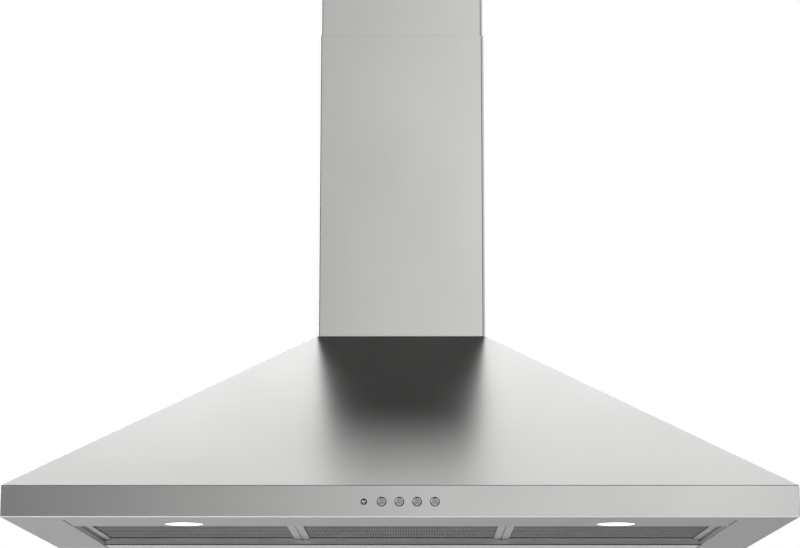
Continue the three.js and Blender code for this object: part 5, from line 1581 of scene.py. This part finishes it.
@dataclass
class OutletCollar:
    """Square-to-round outlet with a flange below, a flap seat, a beaded spigot and rod bearings."""

    node: str = "outlet_collar"
    radius: float = 75 * MM
    wall: float = 2 * MM
    base: Range = (78 * MM, 84 * MM)
    transition: float = 22 * MM
    transition_steps: int = 8
    transition_power: float = 1.5
    seat: float = 4 * MM
    seat_height: float = 2 * MM
    bead: float = 1.2 * MM
    bead_width: float = 6 * MM
    bead_drop: float = 9 * MM
    bead_steps: int = 6
    mouth_edge: float = 0.4 * MM
    flange_corner: float = 4 * MM
    flange_bore_corner: float = 1 * MM
    ear_sink: float = 0.3 * MM
    ear_depth: float = 4.7 * MM
    ear_half: float = 4.5 * MM
    ear_height: float = 7.4 * MM
    ear_edge: float = 0.6 * MM
    segments: int = 96

    def build(self, shop: Workshop) -> None:
        """Builds the collar: each level is a mix of a rounded rectangle and a circle.

        A level's point at angle a is (1 - q) r (cos a, sin a) + q (hx c, hy s) / max(|c|, |s|).

        Args:
            shop: The workshop.
        """
        box = Box.of(self.node)
        low, high, middle = box.low[2], box.high[2], box.middle
        r, w, bore = self.radius, self.wall, self.radius - self.wall
        neck, shelf = low + w + self.transition, bore - self.seat
        rise = np.linspace(0, 1, self.transition_steps + 1)
        blend = (1 - rise) ** self.transition_power
        outer = [(q, r, 0.0, z) for q, z in zip(blend, low + w + rise * self.transition)]
        bead = [(0.0, r + self.bead * math.sin(a), 0.0, high - self.bead_drop + self.bead_width * a / math.pi)
                for a in np.linspace(0, math.pi, self.bead_steps + 1)]
        inside = [(0.0, r, 0.0, high - self.mouth_edge), (0.0, r - self.mouth_edge, 0.0, high),
                  (0.0, bore, 0.0, high), (0.0, bore, 0.0, neck + self.seat_height),
                  (0.0, shelf, 0.0, neck + self.seat_height), (0.0, shelf, 0.0, neck)]
        inner = [(q, bore - self.seat * (1 - q), w, z)
                 for q, z in zip(blend[::-1], low + w + rise[::-1] * self.transition)]
        levels = np.array([(1.0, r, 0.0, low), *outer, *bead, *inside, *inner, (1.0, bore, w, low)])
        share, radius, inset, height = (column[None, :] for column in levels.T)
        angle = np.linspace(0, 2 * math.pi, self.segments, endpoint=False)[:, None]
        c, s = np.cos(angle), np.sin(angle)
        square = np.maximum(np.abs(c), np.abs(s))
        x, y = (centre + (1 - share) * radius * part + share * (half - inset) * part / square
                for centre, part, half in zip(middle, (c, s), self.base))
        hollow = tube(np.stack([x, y, np.broadcast_to(height, x.shape)], -1), closed_path=True)
        outline = [(*(box.size[:2] / 2), self.flange_corner),
                   (self.base[0] - w, self.base[1] - w, self.flange_bore_corner)]
        heights = ((0, w), (w, 0))
        levels = [(hx, hy, z, corner) for (hx, hy, corner), ends in zip(outline, heights) for z in ends]
        parts = [hollow, tube(loop_rings(levels, (middle[0], middle[1], low)), closed_path=True)]
        for sign in SIDES:
            x_low, x_high = sorted((sign * (bore + self.ear_sink), sign * (bore - self.ear_depth)))
            parts.append(soft_box((middle[0] + x_low, middle[1] - self.ear_half, neck),
                                  (middle[0] + x_high, middle[1] + self.ear_half, neck + self.ear_height),
                                  self.ear_edge))
        shop.add("outlet_spigot", joined(parts), "black_plastic", nodes=[self.node])


# ---- Studio ---------------------------------------------------------------------------------


@dataclass(frozen=True)
class PhotoView:
    """The photograph's camera: where it stands, where it looks and its focal length in pixels."""

    place: Point = (0.0219, -3.0869, -0.4133)
    pitch: float = 11.153
    yaw: float = 0.463
    roll: float = 0.046
    focal_pixels: float = 2353.0
    width_pixels: int = 800
    sensor: float = 36.0
    reach: float = 60.0

    def build(self) -> None:
        """Makes the scene's camera."""
        data = bpy.data.cameras.new("camera")
        data.sensor_fit = "HORIZONTAL"
        data.sensor_width = self.sensor
        data.lens = self.focal_pixels * self.sensor / self.width_pixels
        data.clip_end = self.reach
        camera = bpy.data.objects.new("camera", data)
        camera.location = self.place
        turn = (Matrix.Rotation(math.radians(self.yaw), 3, "Z")
                @ Matrix.Rotation(math.radians(90 + self.pitch), 3, "X")
                @ Matrix.Rotation(math.radians(self.roll), 3, "Z"))
        camera.rotation_euler = turn.to_euler()
        bpy.context.scene.collection.objects.link(camera)
        bpy.context.scene.camera = camera


@dataclass(frozen=True)
class Studio:
    """Pale floor, soft even light, and a white ground behind.

    In the metal the room shows as its light goes: dark overhead in front, bright over and behind
    the hood, and brighter towards the right in front.
    """

    floor_drop: float = 3.4
    floor_half: float = 8.5
    floor_tone: Range = (0.86, 0.9)
    floor_cloud: float = 2.0
    floor_roughness: float = 0.8

    # Painted pool of light: in the metal the floor loses this share of its tone between two distances from
    # the middle.
    floor_fade: float = 0.85
    pool: Range = (2.0, 5.6)

    # Brightness overhead: degrees behind the zenith, negative in front.
    overhead: Profile = (
        (-180, 0.7), (-66, 0.7), (-48, 0.03), (11.6, 0.03), (17.5, 4.0), (22, 3.7), (29, 1.15), (60, 1.0),
        (180, 1.0))

    # To both sides, between two x of a direction, an even brightness takes over from it.
    overhead_sides: float = 0.95
    aside: Range = (0.3, 0.6)

    # Brightness round the horizon: degrees from straight ahead, positive to the right.
    horizon: Profile = (
        (-180, 1.2), (-100, 1.45), (-44, 1.9), (-36, 0.03), (-12, 0.03), (-9.4, 0.12), (-6.8, 0.28),
        (-4.85, 0.46), (-2, 0.8), (2, 1.3), (5, 1.4), (9.5, 1.5), (13, 1.5), (18, 0.05), (46, 0.05),
        (56, 0.8), (180, 0.8))

    # Heights, as the z of a direction, over which the horizon gives way to overhead, and over which
    # the brightness below gives way to both.
    skyline: Range = (0.30, 0.62)
    sink: Range = (-0.06, 0.03)

    # Brightness below at the left and right, and how far to each side of the middle it changes.
    below: Range = (0.55, 0.43)
    below_turn: float = 0.16

    lamp_size: Range = (3.0, 2.0)
    lamp_power: float = 60.0
    lamp_place: Point = (-1.2, -2.6, 2.2)
    lamp_tilt: float = 48.0
    lamp_turn: float = -25.0

    # A ramp's colours hold brightness divided by this, because they end at 1.
    ramp_scale: float = 4.0

    def ramp(self, graph: Graph, degrees: Socket, stops: Profile) -> Socket:
        """Brightness by an angle, from stops.

        Args:
            graph: Graph of the world.
            degrees: The angle, from -180 to 180.
            stops: (angle, brightness) pairs.

        Returns:
            The brightness.
        """
        turn = graph.math("DIVIDE", graph.math("ADD", degrees, 180.0), 360.0)
        ramp = graph.node("ValToRGB", {0: turn})
        ramp.color_ramp.interpolation = "LINEAR"
        elements = ramp.color_ramp.elements
        for number, (at, bright) in enumerate(stops):
            position = (at + 180) / 360
            element = elements[number] if number < 2 else elements.new(position)
            element.position = position
            element.color = (*[bright / self.ramp_scale] * 3, 1.0)
        return graph.math("MULTIPLY", ramp.outputs[0], self.ramp_scale)

    def world(self) -> None:
        """Builds the world's light."""
        world = bpy.data.worlds.new("studio")
        bpy.context.scene.world = world
        world.use_nodes = True
        graph = Graph(world.node_tree)
        background = world.node_tree.nodes["Background"]
        x, y, z = graph.split(graph.node("TexCoord").outputs["Generated"])
        azimuth = graph.math("ARCTAN2", x, graph.math("MULTIPLY", y, -1.0))
        around = self.ramp(graph, graph.math("DEGREES", azimuth), self.horizon)
        over = self.ramp(graph, graph.math("DEGREES", graph.math("ARCTAN2", y, z)), self.overhead)
        aside = graph.spread(graph.math("ABSOLUTE", x), 0.0, 1.0, *self.aside)
        above = graph.blend(over, self.overhead_sides, aside)
        upper = graph.blend(above, around, graph.spread(z, 1.0, 0.0, *self.skyline))
        below = graph.spread(x, *self.below, -self.below_turn, self.below_turn)
        room = graph.blend(upper, below, graph.spread(z, 1.0, 0.0, *self.sink))
        seen = graph.node("LightPath").outputs["Is Camera Ray"]
        graph.feed(background.inputs["Strength"], graph.blend(room, 1.0, seen))
        background.inputs["Color"].default_value = (1, 1, 1, 1)

    def floor(self) -> None:
        """Lays the pale floor well below the hood.

        In the metal its colour is darkened away from the middle, a painted pool of light round the hood, and
        from below it is clear.
        """
        h = self.floor_half
        z = CAD_BOX[0][2] - self.floor_drop
        surface = Surface(np.array([(-h, -h, z), (h, -h, z), (h, h, z), (-h, h, z)]), [(0, 1, 2, 3)])
        graph = MaterialGraph("pale_floor")
        place = graph.place()
        x, y, _ = graph.split(place)
        away = graph.math("SQRT", graph.math("ADD", graph.math("POWER", x, 2.0), graph.math("POWER", y, 2.0)))
        shiny = graph.node("LightPath").outputs["Is Glossy Ray"]
        # Painted pool of light: in glossy rays the floor's colour darkens away from the middle.
        fade = graph.math("MULTIPLY", shiny, graph.spread(away, 0.0, self.floor_fade, *self.pool))
        pale = graph.spread(graph.noise(place, self.floor_cloud, 2.0), *self.floor_tone)
        behind = graph.node("NewGeometry").outputs["Backfacing"]
        graph.shade({
            "Base Color": graph.math("MULTIPLY", pale, graph.math("SUBTRACT", 1.0, fade)),
            "Roughness": self.floor_roughness, "Alpha": graph.math("SUBTRACT", 1.0, behind)})
        mesh_piece("floor", surface, graph.material)

    def lamp(self) -> None:
        """Hangs one large soft lamp in front of and above the hood."""
        data = bpy.data.lights.new("soft_lamp", "AREA")
        data.shape = "RECTANGLE"
        data.size, data.size_y = self.lamp_size
        data.energy = self.lamp_power
        lamp = bpy.data.objects.new("soft_lamp", data)
        lamp.location = self.lamp_place
        lamp.rotation_euler = (math.radians(self.lamp_tilt), 0.0, math.radians(self.lamp_turn))
        lamp.visible_glossy = False
        bpy.context.scene.collection.objects.link(lamp)

    def build(self) -> None:
        """Builds world, floor and lamp, and sets the view transform."""
        self.world()
        self.floor()
        self.lamp()
        bpy.context.scene.view_settings.view_transform = "Standard"


def main() -> None:
    """Builds the hood's pieces and the studio in order."""
    logging.basicConfig(level=logging.INFO, format="%(message)s")
    PhotoView().build()
    Studio().build()
    shop = Workshop()
    shop.dress_nodes()
    plan = HoodPlan.from_frame()
    pieces = [
        Canopy(plan), Band(plan), BackPanel(plan),
        ChimneyCover("lower_cover_sheet", "lower_chimney_cover", "root"),
        ChimneyCover("upper_cover_sheet", "upper_chimney_cover", "upper_chimney"),
        PanHead("cover_screw_left", "root", Axis.LEFT), PanHead("cover_screw_right", "root", Axis.RIGHT),
        PanHead("bracket_screw_left", "upper_chimney", Axis.LEFT),
        PanHead("bracket_screw_right", "upper_chimney", Axis.RIGHT),
        *(PanHead(f"box_screw_{number}", "root", Axis.UP) for number in range(1, 5)),
        Lamp("left"), Lamp("right"),
        *(PushButton(number) for number in range(1, 5)), Indicator(),
        *(GreaseFilter(side) for side in ("left", "centre", "right")), RecessShadeBeads(plan),
        OutletCollar(),
    ]
    for piece in pieces:
        piece.build(shop)


if __name__ == "__main__":
    main()
